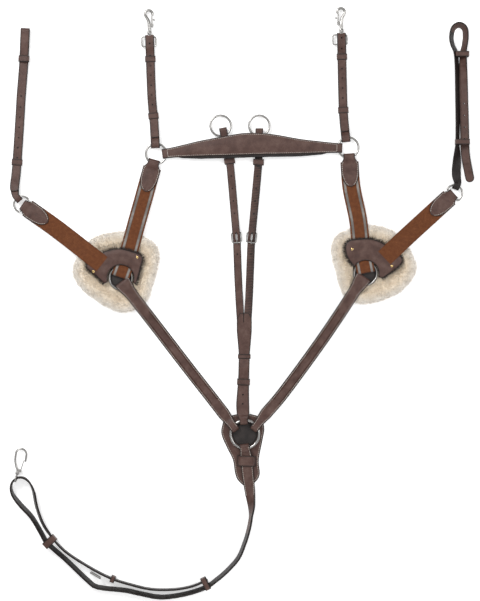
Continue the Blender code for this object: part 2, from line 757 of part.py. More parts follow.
def chest_guard():
    """The shield behind the centre ring, with the band that holds the belly strap down on it."""
    levels = ((0, 0.8), (0.8, 0), (GUARD_THICKNESS - 0.8, 0), (GUARD_THICKNESS, 0.8))
    outline_plate("chest_guard", GUARD_OUTLINE, levels, "leather")
    ends = GUARD_THICKNESS + GAP + LEATHER / 2
    over = 11.2
    route = Route(((-14, -349), (10, -350), (34, -351)), 2)
    profile = [(0, ends), (7, ends), (9.5, 7.2), (11.6, 10.2), (15, over), (33, over), (36.4, 10.2), (38.5, 7.2)]
    profile += [(41, ends), (48, ends)]
    strap("guard_band", route, profile, 23)


# Martingale fork, rein straps and rein rings

BUCKLE_WIRE = 1.5
BUCKLE_Z = LOW + LEATHER / 2 + GAP + BUCKLE_WIRE
BUCKLE_LENGTH = 22.0
TONGUE_WIRE = 1.1
REIN_Z = REST + LEATHER + GAP + REIN_WIRE
REIN_LIFT = 1.8

ARMS = {
    "left": {
        "ring": (-47, 388),
        "strap": ((-39.2, 366.9), (-34.8, 345), (-25.8, 299), (-12.9, 153)),
        "arm": ((-29.6, 318), (-25.8, 299), (-12.9, 153), (-11.2, 131), (-8.6, 60), (-5.6, 0), (-3, -40)),
    },
    "right": {
        "ring": (38, 388),
        "strap": ((38, 365.5), (37.6, 345), (35, 288), (22.3, 153)),
        "arm": ((36.8, 318), (35.6, 299), (22.3, 153), (20.4, 131), (17.6, 60), (15, 0), (12.6, -40)),
    },
}
ARM_HOLES = (42, 69.5, 97, 124.5, 214.5)
TAIL_ROUTE = ((5, -24), (5, -60), (5, -117), (3.6, -170), (1.6, -225), (3.6, -260))
TAIL_WIDTH = [(0, 20), (12, 33), (40, 33), (92, 24), (150, 24), (205, 29), (222, 28), (234, 19)]


def rein_strap(side, root):
    """The strap from the rein ring down to its buckle, whose bar it folds round."""
    data = ARMS[side]
    route = Route(data["strap"])
    end = route.length
    fold = turn_at_start(REIN_WIRE, REIN_Z, depth=12.0, lift=REIN_LIFT, downwards=True)
    profile = [(30, UPPER), (18, UPPER), (6, fold[0][1] - 1.2), *fold, (6, LOW), (end - 6, LOW)]
    profile += [*turn_at_end(end, BUCKLE_WIRE, BUCKLE_Z, upwards=True), (end - 6, BUCKLE_Z + 2.4), (end - 12, UPPER)]
    profile.append((end - 26, UPPER))
    made = strap("rein_strap_" + side, route, spread(profile, 30), ARM_WIDTH)
    start, direction = route.at(end)
    slot = bmesh.new()
    corners = turned(((-6, -1.8), (6, -1.8), (6, 1.8), (-6, 1.8)), start, direction)
    slab(slot, corners, LOW + LEATHER / 2 + 0.3, 14)
    boolean(made, make_object(made.name + "_slot", slot, None, (0, 0, 0)), "DIFFERENCE")

    frame = bmesh.new()
    half = ARM_WIDTH / 2 + 2.6
    path = rounded_box_path(0, BUCKLE_LENGTH, -half, half, 3.5)
    rod_mesh(frame, turned(path, start, direction), BUCKLE_Z, BUCKLE_WIRE, closed=True)
    make_object("rein_buckle_" + side, frame, "nickel", (start.x, start.y, BUCKLE_Z))

    tongue = bmesh.new()
    reach = BUCKLE_WIRE + 0.3 + TONGUE_WIRE
    hook = arc((0, 0), reach, 180, 90, 4)
    path = [*hook, (10, reach + 0.4), (BUCKLE_LENGTH - 1, reach + 0.1), (BUCKLE_LENGTH + 3, reach - 0.4)]
    rod_mesh(tongue, path, 0, [TONGUE_WIRE] * 6 + [0.9], sides=6)
    bmesh.ops.rotate(tongue, verts=tongue.verts, matrix=Matrix.Rotation(math.radians(90), 3, "X"))
    heading = math.atan2(direction.y, direction.x)
    bmesh.ops.rotate(tongue, verts=tongue.verts, matrix=Matrix.Rotation(heading, 3, "Z"))
    bmesh.ops.translate(tongue, verts=tongue.verts, vec=(start.x, start.y, BUCKLE_Z))
    hinge = pivot("rein_tongue_turn_" + side, (start.x, start.y, BUCKLE_Z), root)
    carry(hinge, make_object("rein_tongue_" + side, tongue, "nickel", (start.x, start.y, BUCKLE_Z)))

    wire = route.points[0]
    flip = pivot("rein_ring_turn_" + side, (wire.x, wire.y, REIN_Z), root)
    carry(flip, ring("rein_ring_" + side, data["ring"], REIN_Z, REIN_RADIUS, REIN_WIRE))
    keeper("rein_keeper_" + side, route, 57.5, REST - 0.3, UPPER + 1.5, ARM_WIDTH + 4.5)


def arm_object(side):
    """One punched arm of the fork: its tip is on top, its foot runs into the fork."""
    route = Route(ARMS[side]["arm"])
    end = route.length
    profile = [(0, UPPER), (118, UPPER), (134, THIRD + 0.2), (148, THIRD + 0.2), (155, 12.2), (170, 12.2)]
    profile += [(177, 8.4), (184, 3.7), (187, LOW), (end, LOW)]
    made = strap("martingale_fork" if side == "left" else "fork_arm_right", route, spread(profile, 32), ARM_WIDTH)
    return made, route


def martingale_fork():
    """The fork: two punched arms that meet in one tail, which folds round the centre ring."""
    fork, left = arm_object("left")
    second, right = arm_object("right")
    route = Route(TAIL_ROUTE)
    end = route.length
    turn = turn_at_end(end, CENTRE_WIRE, CENTRE_Z, depth=4.5)
    profile = [(0, LOW), (100, LOW), (122, UPPER), (end - 50, UPPER), (end - 32, 8.2), (end - 12, 9.6)]
    profile += [(end - 7, turn[0][1]), *turn, (end - 20, turn[-1][1]), (end - 32, LOW), (end - 108, LOW)]
    tail = strap("fork_tail", route, spread(profile, 30), TAIL_WIDTH, thickness=LEATHER - 0.1)
    boolean(fork, second, "UNION")
    boolean(fork, tail, "UNION")
    for route_of, number in ((left, 1), (right, 2)):
        punch(fork, route_of, ARM_HOLES, 6.0, tall=16.0 + number * 0.01)
        punch(fork, route_of, (175,), 8.0, radius=1.9, length=17.0, tall=16.0)
    punch(fork, route, (end - 56, end - 36), 6.0, tall=16.0)
    keeper("fork_keeper_upper", route, 96, REST - 0.4, LOW + 1.7, 25.5, length=10)
    return route


def fork_keeper(route, root):
    made = keeper("fork_keeper_lower", route, 152, REST - 0.4, UPPER + 1.6, 25.8, length=14)
    slide = pivot("fork_keeper_slide", made.location / MM, root)
    carry(slide, made)


# Belly strap and its spring snap

BELLY_ROUTE = (
    (6.2, -322), (10, -350), (13.5, -385), (18.5, -425), (21, -452), (18.7, -480), (13, -507), (4, -535),
    (-9, -564), (-34, -592), (-59, -613), (-81, -628), (-125, -642), (-177.5, -649), (-224, -641),
    (-256.5, -634), (-316.6, -627), (-338, -613), (-364.5, -588), (-388.5, -565), (-427, -531),
    (-440, -510), (-462, -473), (-486, -447), (-504, -423), (-507, -402), (-497, -388), (-481, -386),
    (-467, -397), (-458, -418), (-452, -449), (-440, -483), (-425, -508), (-407.7, -530), (-378.8, -556),
    (-323.6, -590), (-284, -609), (-246, -621), (-200, -631.5), (-150, -632), (-110, -625), (-76, -611),
)
BELLY_Z = 12.2
EYE_POINT = (-496.5, -388.0)
EYE_Z = 15.6
EYE_WIRE = 1.9
BELLY_SNAP_Z = 6.2
BELLY_LEAN = 80


def belly_strap():
    """The long strap to the girth: flat on the guard, then on its edge, looped round the snap's eye."""
    route = Route(BELLY_ROUTE, 3)
    end = route.length
    eye = min(range(300, int(end)), key=lambda s: (route.at(s)[0] - Vector(EYE_POINT)).length)
    fold = turn_at_start(CENTRE_WIRE, CENTRE_Z, depth=4.2)
    profile = [(42, fold[0][1]), (6, fold[0][1]), *fold, (5, 13.2), (10, 9.6), (14, 7.6), (46, 7.6), (86, 6.8)]
    profile += [(110, 9.0), (130, 11.2), (150, BELLY_Z), (eye - 60, BELLY_Z), (eye - 16, EYE_Z), (eye + 16, EYE_Z)]
    profile += [(eye + 60, BELLY_Z), (end, BELLY_Z)]
    thickness = [(50, LEATHER), (90, BELLY_THICKNESS)]
    roll = [(84, 0), (150, BELLY_LEAN), (eye - 60, BELLY_LEAN), (eye - 20, 90), (eye + 20, 90), (eye + 60, BELLY_LEAN)]
    roll += [(eye + 150, BELLY_LEAN), (eye + 190, 90)]
    strap("belly_strap", route, spread(profile, 14), BELLY_WIDTH, thickness=thickness, roll=roll)


def belly_fittings():
    """The buckle beside the upper strand and the leather loops round both strands."""
    loops = (
        ("belly_keeper_end", (-422.5, -526.5), -47, 28, 16),
        ("belly_keeper_middle", (-80, -619), 27, 26, 12),
        ("belly_keeper_buckle", (-284, -609), -21, 12, 10),
    )
    for name, centre, heading, inside, length in loops:
        direction = Vector((math.cos(math.radians(heading)), math.sin(math.radians(heading))))
        route = Route((Vector(centre) - direction, Vector(centre) + direction))
        keeper(name, route, 1, KEEPER_WALL + 0.2, 23.6, inside, length)
    start, direction = Vector((-322, -600.5)), Vector((0.86, -0.51)).normalized()
    bm = bmesh.new()
    rod_mesh(bm, rounded_box_path(-12, 12, 2.0, 24.5, 3), 0, 1.4, closed=True)
    bmesh.ops.rotate(bm, verts=bm.verts, matrix=Matrix.Rotation(math.radians(90), 3, "X"))
    bmesh.ops.rotate(bm, verts=bm.verts, matrix=Matrix.Rotation(math.atan2(direction.y, direction.x), 3, "Z"))
    bmesh.ops.translate(bm, verts=bm.verts, vec=(start.x, start.y, 0))
    make_object("belly_buckle", bm, "nickel", (start.x, start.y, 13))


def belly_snap(root):
    """The eye round the strap's loop, the swivelling hook and its sprung gate."""
    start = Vector(EYE_POINT)
    direction = Vector((0.156, 0.988)).normalized()
    heading = math.atan2(direction.y, direction.x)
    eye = bmesh.new()
    low, high, half = EYE_WIRE + 0.2, 28.6, 5.9
    rod_mesh(eye, rounded_box_path(-half, half, low, high, 3), 0, EYE_WIRE, closed=True)
    bmesh.ops.rotate(eye, verts=eye.verts, matrix=Matrix.Rotation(math.radians(90), 3, "X"))
    bmesh.ops.rotate(eye, verts=eye.verts, matrix=Matrix.Rotation(heading, 3, "Z"))
    bmesh.ops.translate(eye, verts=eye.verts, vec=(start.x, start.y, 0))
    eye_object = make_object("belly_snap_eye", eye, "nickel", (start.x, start.y, BELLY_SNAP_Z))
    post = bmesh.new()
    z = BELLY_SNAP_Z
    lathe(post, start, direction, z, ((half - 0.5, 1.8), (11.4, 1.8), (11.6, 2.6), (14.6, 2.6)))
    boolean(eye_object, make_object("belly_post", post, None, (start.x, start.y, z)), "UNION")

    origin = (start.x, start.y, z)
    bell = bmesh.new()
    lathe(bell, start, direction, z, ((8.3, 3.6), (9.0, 4.4), (14, 4.4), (17, 3.0)))
    hook = make_object("belly_hook", bell, "nickel", origin)
    bow = bmesh.new()
    path = [(15.4, 0), (20, 1.6), (28, 5.8), (38, 8.8), (46, 9.6), *arc((54, -2), 11.7, 100, -85, 15), (46, -13.8)]
    rod_mesh(bow, turned([*path, (39.5, -13.6)], start, direction), z, 2.3)
    boolean(hook, make_object("belly_bow", bow, None, origin), "UNION")
    for name, low, high in (("lug_low", -3.6, -2.3), ("lug_high", 2.3, 3.6)):
        lug = bmesh.new()
        corners = ((14.5, 2.0), (14.5, -8.2), (20.5, -8.2), (20.5, 2.4))
        slab(lug, turned(corners, start, direction), z + low, z + high)
        boolean(hook, make_object("belly_" + name, lug, None, origin), "UNION")
    pin_at = turned(((17.6, -6.0),), start, direction)[0]
    pin = bmesh.new()
    slab(pin, arc(pin_at, 0.9, 0, 315, 8), z - 3.0, z + 3.0)
    boolean(hook, make_object("belly_pin", pin, None, origin), "UNION")
    hollow = bmesh.new()
    lathe(hollow, start, direction, z, ((7.8, 2.2), (11.2, 2.2), (11.3, 3.0), (15.0, 3.0)))
    boolean(hook, make_object("belly_hollow", hollow, None, origin), "DIFFERENCE")

    turn = pivot("belly_snap_turn", origin, root)
    carry(turn, hook)
    gate = bmesh.new()
    slab(gate, arc(pin_at, 2.0, 0, 330, 12), z - 1.9, z + 1.9)
    gate_object = make_object("belly_gate", gate, "nickel", (pin_at.x, pin_at.y, z))
    bar = bmesh.new()
    rod_mesh(bar, turned(((18.6, -6.4), (30, -8.4), (41, -9.9)), start, direction), z, 1.1)
    boolean(gate_object, make_object("belly_gate_bar", bar, None, origin), "UNION")
    bore = bmesh.new()
    slab(bore, arc(pin_at, 1.25, 0, 330, 12), z - 3, z + 3)
    boolean(gate_object, make_object("belly_gate_bore", bore, None, origin), "DIFFERENCE")
    swing = pivot("belly_gate_turn", (pin_at.x, pin_at.y, z), turn)
    carry(swing, gate_object)


# The whole breastplate


def centre_on_floor(root):
    """Moves everything so that the origin is under the middle of the whole outline, on the floor."""
    bpy.context.view_layer.update()
    graph = bpy.context.evaluated_depsgraph_get()
    corners = []
    for found in bpy.context.scene.objects:
        if found.type == "MESH" and not found.hide_render:
            solid = found.evaluated_get(graph)
            corners += [solid.matrix_world @ v.co for v in solid.data.vertices]
    low = [min(c[i] for c in corners) for i in range(3)]
    high = [max(c[i] for c in corners) for i in range(3)]
    root.location = (-(low[0] + high[0]) / 2, -(low[1] + high[1]) / 2, -low[2])
    bpy.context.view_layer.update()


def main():
    clear_scene()
    root = pivot("breastplate", (0, 0, 0), None)
    wither_strap()
    for side, data in SHOULDERS.items():
        ring("wither_ring_" + side, data["wither_ring"], RING_Z, WITHER_RADIUS, WITHER_WIRE)
        ring("shoulder_ring_" + side, data["ring"], SHOULDER_Z, SHOULDER_RADIUS, SHOULDER_WIRE)
        chape("shoulder_chape_" + side, Route(data["elastic"]), WITHER_WIRE, RING_Z, 4.6)
        chape("girth_chape_" + side, Route(data["girth"][::-1]), GIRTH_WIRE, GIRTH_Z, 0.4)
        shoulder_elastic(side)
        girth_elastic(side)
        sheepskin_pad(side)
        shoulder_patch(side)
        chest_strap(side)
        snap_strap(side, root)
        rein_strap(side, root)
        hinge, start, direction = girth_ring(side, root)
        if side == "left":
            girth_strap_left(hinge, start, direction)
        else:
            girth_strap_right(hinge, start, direction)
    ring("centre_ring", CENTRE, CENTRE_Z, CENTRE_RADIUS, CENTRE_WIRE, 32)
    chest_guard()
    fork_keeper(martingale_fork(), root)
    belly_strap()
    belly_fittings()
    belly_snap(root)
    for found in list(bpy.context.scene.objects):
        if found.parent is None and found is not root:
            found.parent = root
    centre_on_floor(root)


main()
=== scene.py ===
"""The looks of a five-point breastplate for a horse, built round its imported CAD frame.

Lengths in this script are millimetres in the layout's own plan, as in the CAD script; SHIFT moves them to
the frame's origin and MM turns them into metres when a mesh is made.
"""

import json
import math
from random import Random

import bmesh
import bpy
import numpy as np
from mathutils import Matrix, Vector, geometry, noise

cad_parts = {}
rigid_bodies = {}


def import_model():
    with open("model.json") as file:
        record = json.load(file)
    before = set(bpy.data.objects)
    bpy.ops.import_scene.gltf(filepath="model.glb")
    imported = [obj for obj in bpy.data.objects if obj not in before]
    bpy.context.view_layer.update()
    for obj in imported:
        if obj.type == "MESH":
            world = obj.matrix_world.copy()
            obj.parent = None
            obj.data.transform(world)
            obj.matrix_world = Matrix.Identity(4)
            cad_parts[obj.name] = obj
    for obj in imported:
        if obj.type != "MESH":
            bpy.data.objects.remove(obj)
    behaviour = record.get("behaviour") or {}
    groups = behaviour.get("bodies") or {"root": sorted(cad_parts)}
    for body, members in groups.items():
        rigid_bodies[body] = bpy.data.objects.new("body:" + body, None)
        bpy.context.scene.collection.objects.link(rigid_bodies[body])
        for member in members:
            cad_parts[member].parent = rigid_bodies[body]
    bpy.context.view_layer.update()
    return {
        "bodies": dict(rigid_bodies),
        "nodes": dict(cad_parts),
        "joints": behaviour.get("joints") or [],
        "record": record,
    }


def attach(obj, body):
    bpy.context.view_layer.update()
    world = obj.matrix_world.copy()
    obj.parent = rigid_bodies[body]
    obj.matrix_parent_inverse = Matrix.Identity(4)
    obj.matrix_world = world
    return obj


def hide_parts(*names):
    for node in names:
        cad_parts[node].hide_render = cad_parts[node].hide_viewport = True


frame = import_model()

MM = 0.001
SHIFT = Vector((-1.263, 1.647, 0.0))
GAP = 0.4
LEATHER = 2.4
ELASTIC = 2.0
REST = 1.8

WITHER_WIRE = 2.5
WITHER_RADIUS = 22.5
SHOULDER_WIRE = 2.5
SHOULDER_RADIUS = 25.0
REIN_WIRE = 2.4
REIN_RADIUS = 22.6
CENTRE_WIRE = 3.0
CENTRE_RADIUS = 31.0
GIRTH_WIRE = 2.2
GIRTH_BOW = 18.0
GIRTH_SIDE = 5.0

STRAP_WIDTH = 20.0
ELASTIC_WIDTH = 40.0
CHEST_WIDTH = 27.0
ARM_WIDTH = 17.0
BELLY_WIDTH = 20.0
BELLY_THICKNESS = 4.2
HOLE_RADIUS = 1.7
HOLE_DEPTH = 0.75
CUT_TOP = 30.0
KEEPER_LENGTH = 13.5
KEEPER_WALL = 1.3
PAD_HEIGHT = 10.0
GUARD_THICKNESS = 3.0

LOW = REST + LEATHER / 2
UPPER = LOW + LEATHER + 0.6
THIRD = UPPER + LEATHER + 0.6
RING_Z = REST + LEATHER + GAP + WITHER_WIRE


# Curves


def curve_point(before, start, end, after, t):
    """The point at share t of the smooth curve from start to end, which its neighbours bend."""
    return 0.5 * (
        2 * start
        + (end - before) * t
        + (2 * before - 5 * start + 4 * end - after) * t**2
        + (3 * start - before - 3 * end + after) * t**3
    )


def smooth_path(points, steps):
    """Points on a smooth curve through the given points, steps of them to each span."""
    points = [Vector(p) for p in points]
    if len(points) < 3:
        return points
    ends = [2 * points[0] - points[1], *points, 2 * points[-1] - points[-2]]
    path = []
    for i in range(1, len(ends) - 2):
        before, start, end, after = ends[i - 1 : i + 3]
        for step in range(steps):
            t = step / steps
            path.append(curve_point(before, start, end, after, t))
    path.append(points[-1])
    return path


def arc(centre, radius, first, last, count):
    """Points on an arc in a plane, with its angles in degrees."""
    angles = [math.radians(first + (last - first) * i / (count - 1)) for i in range(count)]
    return [(centre[0] + radius * math.cos(a), centre[1] + radius * math.sin(a)) for a in angles]


class Route:
    """A strap's way across the floor: a smooth plan curve, measured by its length from its start."""

    def __init__(self, points, steps=6):
        self.points = smooth_path([Vector(p).to_2d() for p in points], steps)
        self.lengths = [0.0]
        for a, b in zip(self.points, self.points[1:]):
            self.lengths.append(self.lengths[-1] + (b - a).length)
        self.length = self.lengths[-1]

    def heading(self, index):
        low, high = max(index - 1, 0), min(index + 1, len(self.points) - 1)
        return (self.points[high] - self.points[low]).normalized()

    def at(self, s):
        """The place and the direction at a distance along the route, straight on past its ends."""
        if s <= 0:
            direction = self.heading(0)
            return self.points[0] + direction * s, direction
        if s >= self.length:
            direction = self.heading(len(self.points) - 1)
            return self.points[-1] + direction * (s - self.length), direction
        index = max(i for i, length in enumerate(self.lengths) if length <= s)
        share = (s - self.lengths[index]) / (self.lengths[index + 1] - self.lengths[index])
        place = self.points[index].lerp(self.points[index + 1], share)
        return place, self.heading(index).lerp(self.heading(index + 1), share).normalized()


def between(stops, s):
    """A value that runs straight between stops, each a distance and its value."""
    if s <= stops[0][0]:
        return stops[0][1]
    for (s0, v0), (s1, v1) in zip(stops, stops[1:]):
        if s <= s1:
            return v0 + (v1 - v0) * (s - s0) / (s1 - s0)
    return stops[-1][1]


def spread(points, longest):
    """The same side profile with long spans cut into shorter ones, so that it follows a curved route."""
    result = [points[0]]
    for a, b in zip(points, points[1:]):
        pieces = max(1, math.ceil(abs(b[0] - a[0]) / longest))
        result += [
            (a[0] + (b[0] - a[0]) * i / pieces, a[1] + (b[1] - a[1]) * i / pieces)
            for i in range(1, pieces + 1)
        ]
    return result


def turn_at_start(wire, z, thickness=LEATHER, depth=0.0, lift=0.0, downwards=False):
    """The strap's profile round a bar at distance 0: back along the underside, then away on top."""
    reach = wire + GAP + thickness / 2
    points = []
    for i in range(7):
        a = math.radians(-90 - 30 * i)
        height = z + lift / 2 + (reach + lift / 2) * math.sin(a)
        points.append((reach * math.cos(a) - depth, height))
    return points[::-1] if downwards else points


def turn_at_end(at, wire, z, thickness=LEATHER, depth=0.0, upwards=False):
    """The same at the far end: it comes on top and leaves along the underside."""
    points = [(at - s, h) for s, h in turn_at_start(wire, z, thickness, depth)][::-1]
    return points[::-1] if upwards else points


def rounded_box_path(x0, x1, y0, y1, corner):
    """A closed rectangle with round corners, anticlockwise."""
    path = []
    for cx, cy, first in (
        (x1 - corner, y1 - corner, 0),
        (x0 + corner, y1 - corner, 90),
        (x0 + corner, y0 + corner, 180),
        (x1 - corner, y0 + corner, 270),
    ):
        path += arc((cx, cy), corner, first, first + 90, 3)
    return path


def place_local(path, start, direction):
    """Turns points given along and across a direction into points on the floor plan."""
    side = Vector((-direction.y, direction.x))
    return [start + direction * x + side * y for x, y in path]


def turned(points, start, direction, hand=1):
    return place_local([(x, y * hand) for x, y in points], start, direction)


# The layout

SNAP_BAR = 1.75
SNAP_Z = REST + LEATHER + GAP + SNAP_BAR
SNAP_FRAME = (21.0, 15.5)
SNAP_WIDTH = 19.5
SNAP_LIFT = 2.6
BELL = (5.2, 13.4, 5.2)
POST_RADIUS = 1.7
HEAD = (8.6, 12.0, 3.3)
BOW_CENTRE = 50.5
BOW_RADIUS = 8.3
BOW_WIRE = 2.6
BOLT_Y = 6.6
BOLT_RADIUS = 1.6
KNOB_AT = 37.5
GUIDE = (22.5, 29.5)

SNAPS = {
    "left": {
        "route": ((-190.8, 348.4), (-193.5, 395), (-198.9, 455.6), (-203.5, 583.5)),
        "holes": (60, 86, 107.5, 129, 151, 172.5, 195, 221),
        "keepers": (187.0, 61.5),
        "offset": 2.0,
        "hand": 1,
    },
    "right": {
        "route": ((228.3, 361.8), (224.5, 400), (222, 449), (219, 588)),
        "holes": (87.5, 109.5, 131.5, 152.5, 196, 219.5),
        "keepers": (178.5, 61.0),
        "offset": 3.5,
        "hand": -1,
    },
}


SHOULDER_Z = 11.3
PATCH_Z = 16.6
PATCH_HOLE = 28.5
ELASTIC_Z = LOW + LEATHER / 2 + 0.3 + ELASTIC / 2
CHAPE_TOP = ELASTIC_Z + ELASTIC / 2 + 0.3 + LEATHER / 2
CHAPE_WIDTH = [(0, 25), (4, 28), (13, 40), (36, 39), (50, 32), (59, 21), (64, 7)]

SHOULDERS = {
    "left": {
        "wither_ring": (-189, 326),
        "ring": (-266.6, 52.8),
        "elastic": ((-195.1, 304.4), (-205.5, 268), (-229.6, 180.4), (-251.5, 101.2), (-259.8, 76.8)),
        "girth": ((-307, 83), (-400, 155), (-445, 187.5), (-480, 212)),
        "pad": (
            (-369, 79), (-358, 37), (-303, -6), (-257, -21), (-212, 2), (-198, 37), (-184, 92),
            (-191, 125), (-224, 145), (-274, 153), (-332, 136),
        ),
        "patch": (
            (-303, 40), (-320, 57), (-338, 72), (-341, 82), (-322, 99), (-303, 110), (-272, 117),
            (-243, 111), (-219, 100), (-223, 76), (-229, 53), (-234, 38),
        ),
        "arch": (196, -20),
    },
    "right": {
        "wither_ring": (234, 340),
        "ring": (271.7, 62.7),
        "elastic": ((236, 317.5), (241, 253), (255.3, 180.4), (261.7, 121), (268, 87.4)),
        "girth": ((312.4, 96.8), (356, 138), (402.6, 180.4), (463.4, 236)),
        "pad": (
            (198, 113), (210, 146), (250, 163), (290, 167), (332, 155), (365, 118), (382, 79),
            (372, 49), (340, 18), (293, 1), (256, -2), (224, 18), (209, 62),
        ),
        "patch": (
            (244, 81), (231, 99), (227, 122), (235, 134), (258, 138), (285, 138), (311, 128),
            (335, 112), (352, 95), (346, 80), (323, 62), (308, 52),
        ),
        "arch": (178, -16),
    },
}


GIRTH_Z = REST + LEATHER + GAP + GIRTH_WIRE
GIRTH_LIFT = 3.0
GIRTH_WIDTH = [(6, 15.0), (24, STRAP_WIDTH)]
BOW_ANGLES = {"left": 125, "right": 72}
LEFT_STRAP = (
    (-500.5, 253), (-497.5, 280), (-494.5, 320), (-490, 388), (-486, 455), (-480.5, 526), (-477, 598),
)
LEFT_HOLES = (90, 112, 134, 157, 179, 201, 226)
LEFT_KEEPER = 80.0
LEFT_TOP_KEEPER_Y = 535
RIGHT_LOOP = (
    (472.0, 281), (473.0, 315), (474.2, 380), (473.6, 450), (472.6, 515), (470, 548),
    (463, 566), (460.5, 583), (465, 602), (477.5, 609.5), (489.5, 602), (492, 585), (490, 566),
    (486.8, 548), (486.5, 515), (488.0, 450), (490, 380), (491.5, 330), (497, 295), (503.5, 264),
)


WITHER_ROUTE = (
    (-166.5, 327), (-92, 337), (-36, 342.7), (4, 346.7), (42, 347.2), (76, 345.6), (128, 341.8),
    (211.5, 339),
)
WITHER_WIDTH = [
    (0, 21), (20, 23), (75, 34), (130, 43), (170, 48.5), (209, 47.5), (243, 43), (296, 32.5),
    (360, 23), (378, 21),
]
WITHER_CROWN = 20.5
LINING = 4.4


CENTRE = (6.2, -291.0)
CENTRE_Z = GUARD_THICKNESS + GAP + LEATHER + GAP + CENTRE_WIRE
CHEST_ROUTES = {
    "left": ((-253.9, 31.3), (-202.7, -35.5), (-116.8, -147.5), (-56, -225), (-19.4, -273.5)),
    "right": ((258.6, 41.4), (184.6, -71.7), (94.7, -195.5), (54, -244), (31.4, -272.8)),
}
CHEST_THICKNESS = 5.6


GUARD_OUTLINE = (
    (-43, -270), (-45, -292), (-33, -321), (-20, -348), (-15, -378), (-7, -395), (12, -407),
    (31, -395), (39, -378), (37, -348), (45, -305), (49, -278), (40, -254), (3, -246), (-34, -254),
)


BUCKLE_WIRE = 1.5
BUCKLE_Z = LOW + LEATHER / 2 + GAP + BUCKLE_WIRE
BUCKLE_LENGTH = 22.0
TONGUE_WIRE = 1.1
REIN_Z = REST + LEATHER + GAP + REIN_WIRE
REIN_LIFT = 1.8

ARMS = {
    "left": {
        "ring": (-47, 388),
        "strap": ((-39.2, 366.9), (-34.8, 345), (-25.8, 299), (-12.9, 153)),
        "arm": ((-29.6, 318), (-25.8, 299), (-12.9, 153), (-11.2, 131), (-8.6, 60), (-5.6, 0), (-3, -40)),
    },
    "right": {
        "ring": (38, 388),
        "strap": ((38, 365.5), (37.6, 345), (35, 288), (22.3, 153)),
        "arm": ((36.8, 318), (35.6, 299), (22.3, 153), (20.4, 131), (17.6, 60), (15, 0), (12.6, -40)),
    },
}
ARM_HOLES = (42, 69.5, 97, 124.5, 214.5)
REIN_KEEPER = 57.5
TAIL_ROUTE = ((5, -24), (5, -60), (5, -117), (3.6, -170), (1.6, -225), (3.6, -260))
TAIL_WIDTH = [(0, 20), (12, 33), (40, 33), (92, 24), (150, 24), (205, 29), (222, 28), (234, 19)]


BELLY_ROUTE = (
    (6.2, -322), (10, -350), (13.5, -385), (18.5, -425), (21, -452), (18.7, -480), (13, -507), (4, -535),
    (-9, -564), (-34, -592), (-59, -613), (-81, -628), (-125, -642), (-177.5, -649), (-224, -641),
    (-256.5, -634), (-316.6, -627), (-338, -613), (-364.5, -588), (-388.5, -565), (-427, -531),
    (-440, -510), (-462, -473), (-486, -447), (-504, -423), (-507, -402), (-497, -388), (-481, -386),
    (-467, -397), (-458, -418), (-452, -449), (-440, -483), (-425, -508), (-407.7, -530), (-378.8, -556),
    (-323.6, -590), (-284, -609), (-246, -621), (-200, -631.5), (-150, -632), (-110, -625), (-76, -611),
)
BELLY_Z = 12.2
EYE_POINT = (-496.5, -388.0)
EYE_Z = 15.6
EYE_WIRE = 1.9
BELLY_SNAP_Z = 6.2
BELLY_LEAN = 74


def bow_points(start, direction, angle):
    """A point on the D ring's bow, at an angle in the floor plan, and one straight out from it."""
    centre = start + direction * GIRTH_SIDE
    out = Vector((math.cos(math.radians(angle)), math.sin(math.radians(angle))))
    return centre + out * GIRTH_BOW, centre + out * (GIRTH_BOW + 7)


# Materials


def add(tree, kind, inputs=None, **settings):
    """A shader node with its inputs set or linked."""
    made = tree.nodes.new("ShaderNode" + kind)
    for key, given in settings.items():
        setattr(made, key, given)
    for key, given in (inputs or {}).items():
        socket = made.inputs[key]
        if isinstance(given, bpy.types.NodeSocket):
            tree.links.new(given, socket)
        else:
            socket.default_value = given
    return made


def begin(name, colour, roughness, metallic=0.0):
    made = bpy.data.materials.new(name)
    made.use_nodes = True
    made.diffuse_color = (*colour, 1)
    shader = made.node_tree.nodes["Principled BSDF"]
    shader.inputs["Base Color"].default_value = (*colour, 1)
    shader.inputs["Roughness"].default_value = roughness
    shader.inputs["Metallic"].default_value = metallic
    return made, made.node_tree, shader


def ramp(tree, factor, stops):
    made = add(tree, "ValToRGB", {"Fac": factor})
    band = made.color_ramp
    while len(band.elements) < len(stops):
        band.elements.new(0.5)
    for element, (at, colour) in zip(band.elements, stops):
        element.position = at
        element.color = (*colour, 1)
    return made.outputs["Color"]


def mix(tree, factor, first, second, blend="MIX"):
    made = add(tree, "Mix", data_type="RGBA", blend_type=blend)
    for socket, given in ((made.inputs[0], factor), (made.inputs[6], first), (made.inputs[7], second)):
        if isinstance(given, bpy.types.NodeSocket):
            tree.links.new(given, socket)
        else:
            socket.default_value = given
    return made.outputs[2]


def maths(tree, operation, first, second=None):
    made = add(tree, "Math", operation=operation)
    for socket, given in zip(made.inputs, (first, second)):
        if isinstance(given, bpy.types.NodeSocket):
            tree.links.new(given, socket)
        elif given is not None:
            socket.default_value = given
    return made.outputs[0]


def stretch(tree, given, low, high, first, last):
    inputs = {"Value": given, "From Min": low, "From Max": high, "To Min": first, "To Max": last}
    return add(tree, "MapRange", inputs).outputs["Result"]


def bumped(tree, shader, height, strength, distance):
    inputs = {"Height": height, "Strength": strength, "Distance": distance}
    tree.links.new(add(tree, "Bump", inputs).outputs["Normal"], shader.inputs["Normal"])


def clouds(tree, spot, scale, detail, **more):
    """The level of a noise texture."""
    inputs = {"Vector": spot, "Scale": scale, "Detail": detail, **more}
    return add(tree, "TexNoise", inputs).outputs["Fac"]


def times(tree, first, second):
    return maths(tree, "MULTIPLY", first, second)


def plus(tree, first, second):
    return maths(tree, "ADD", first, second)


def object_place(tree):
    return add(tree, "TexCoord").outputs["Object"]


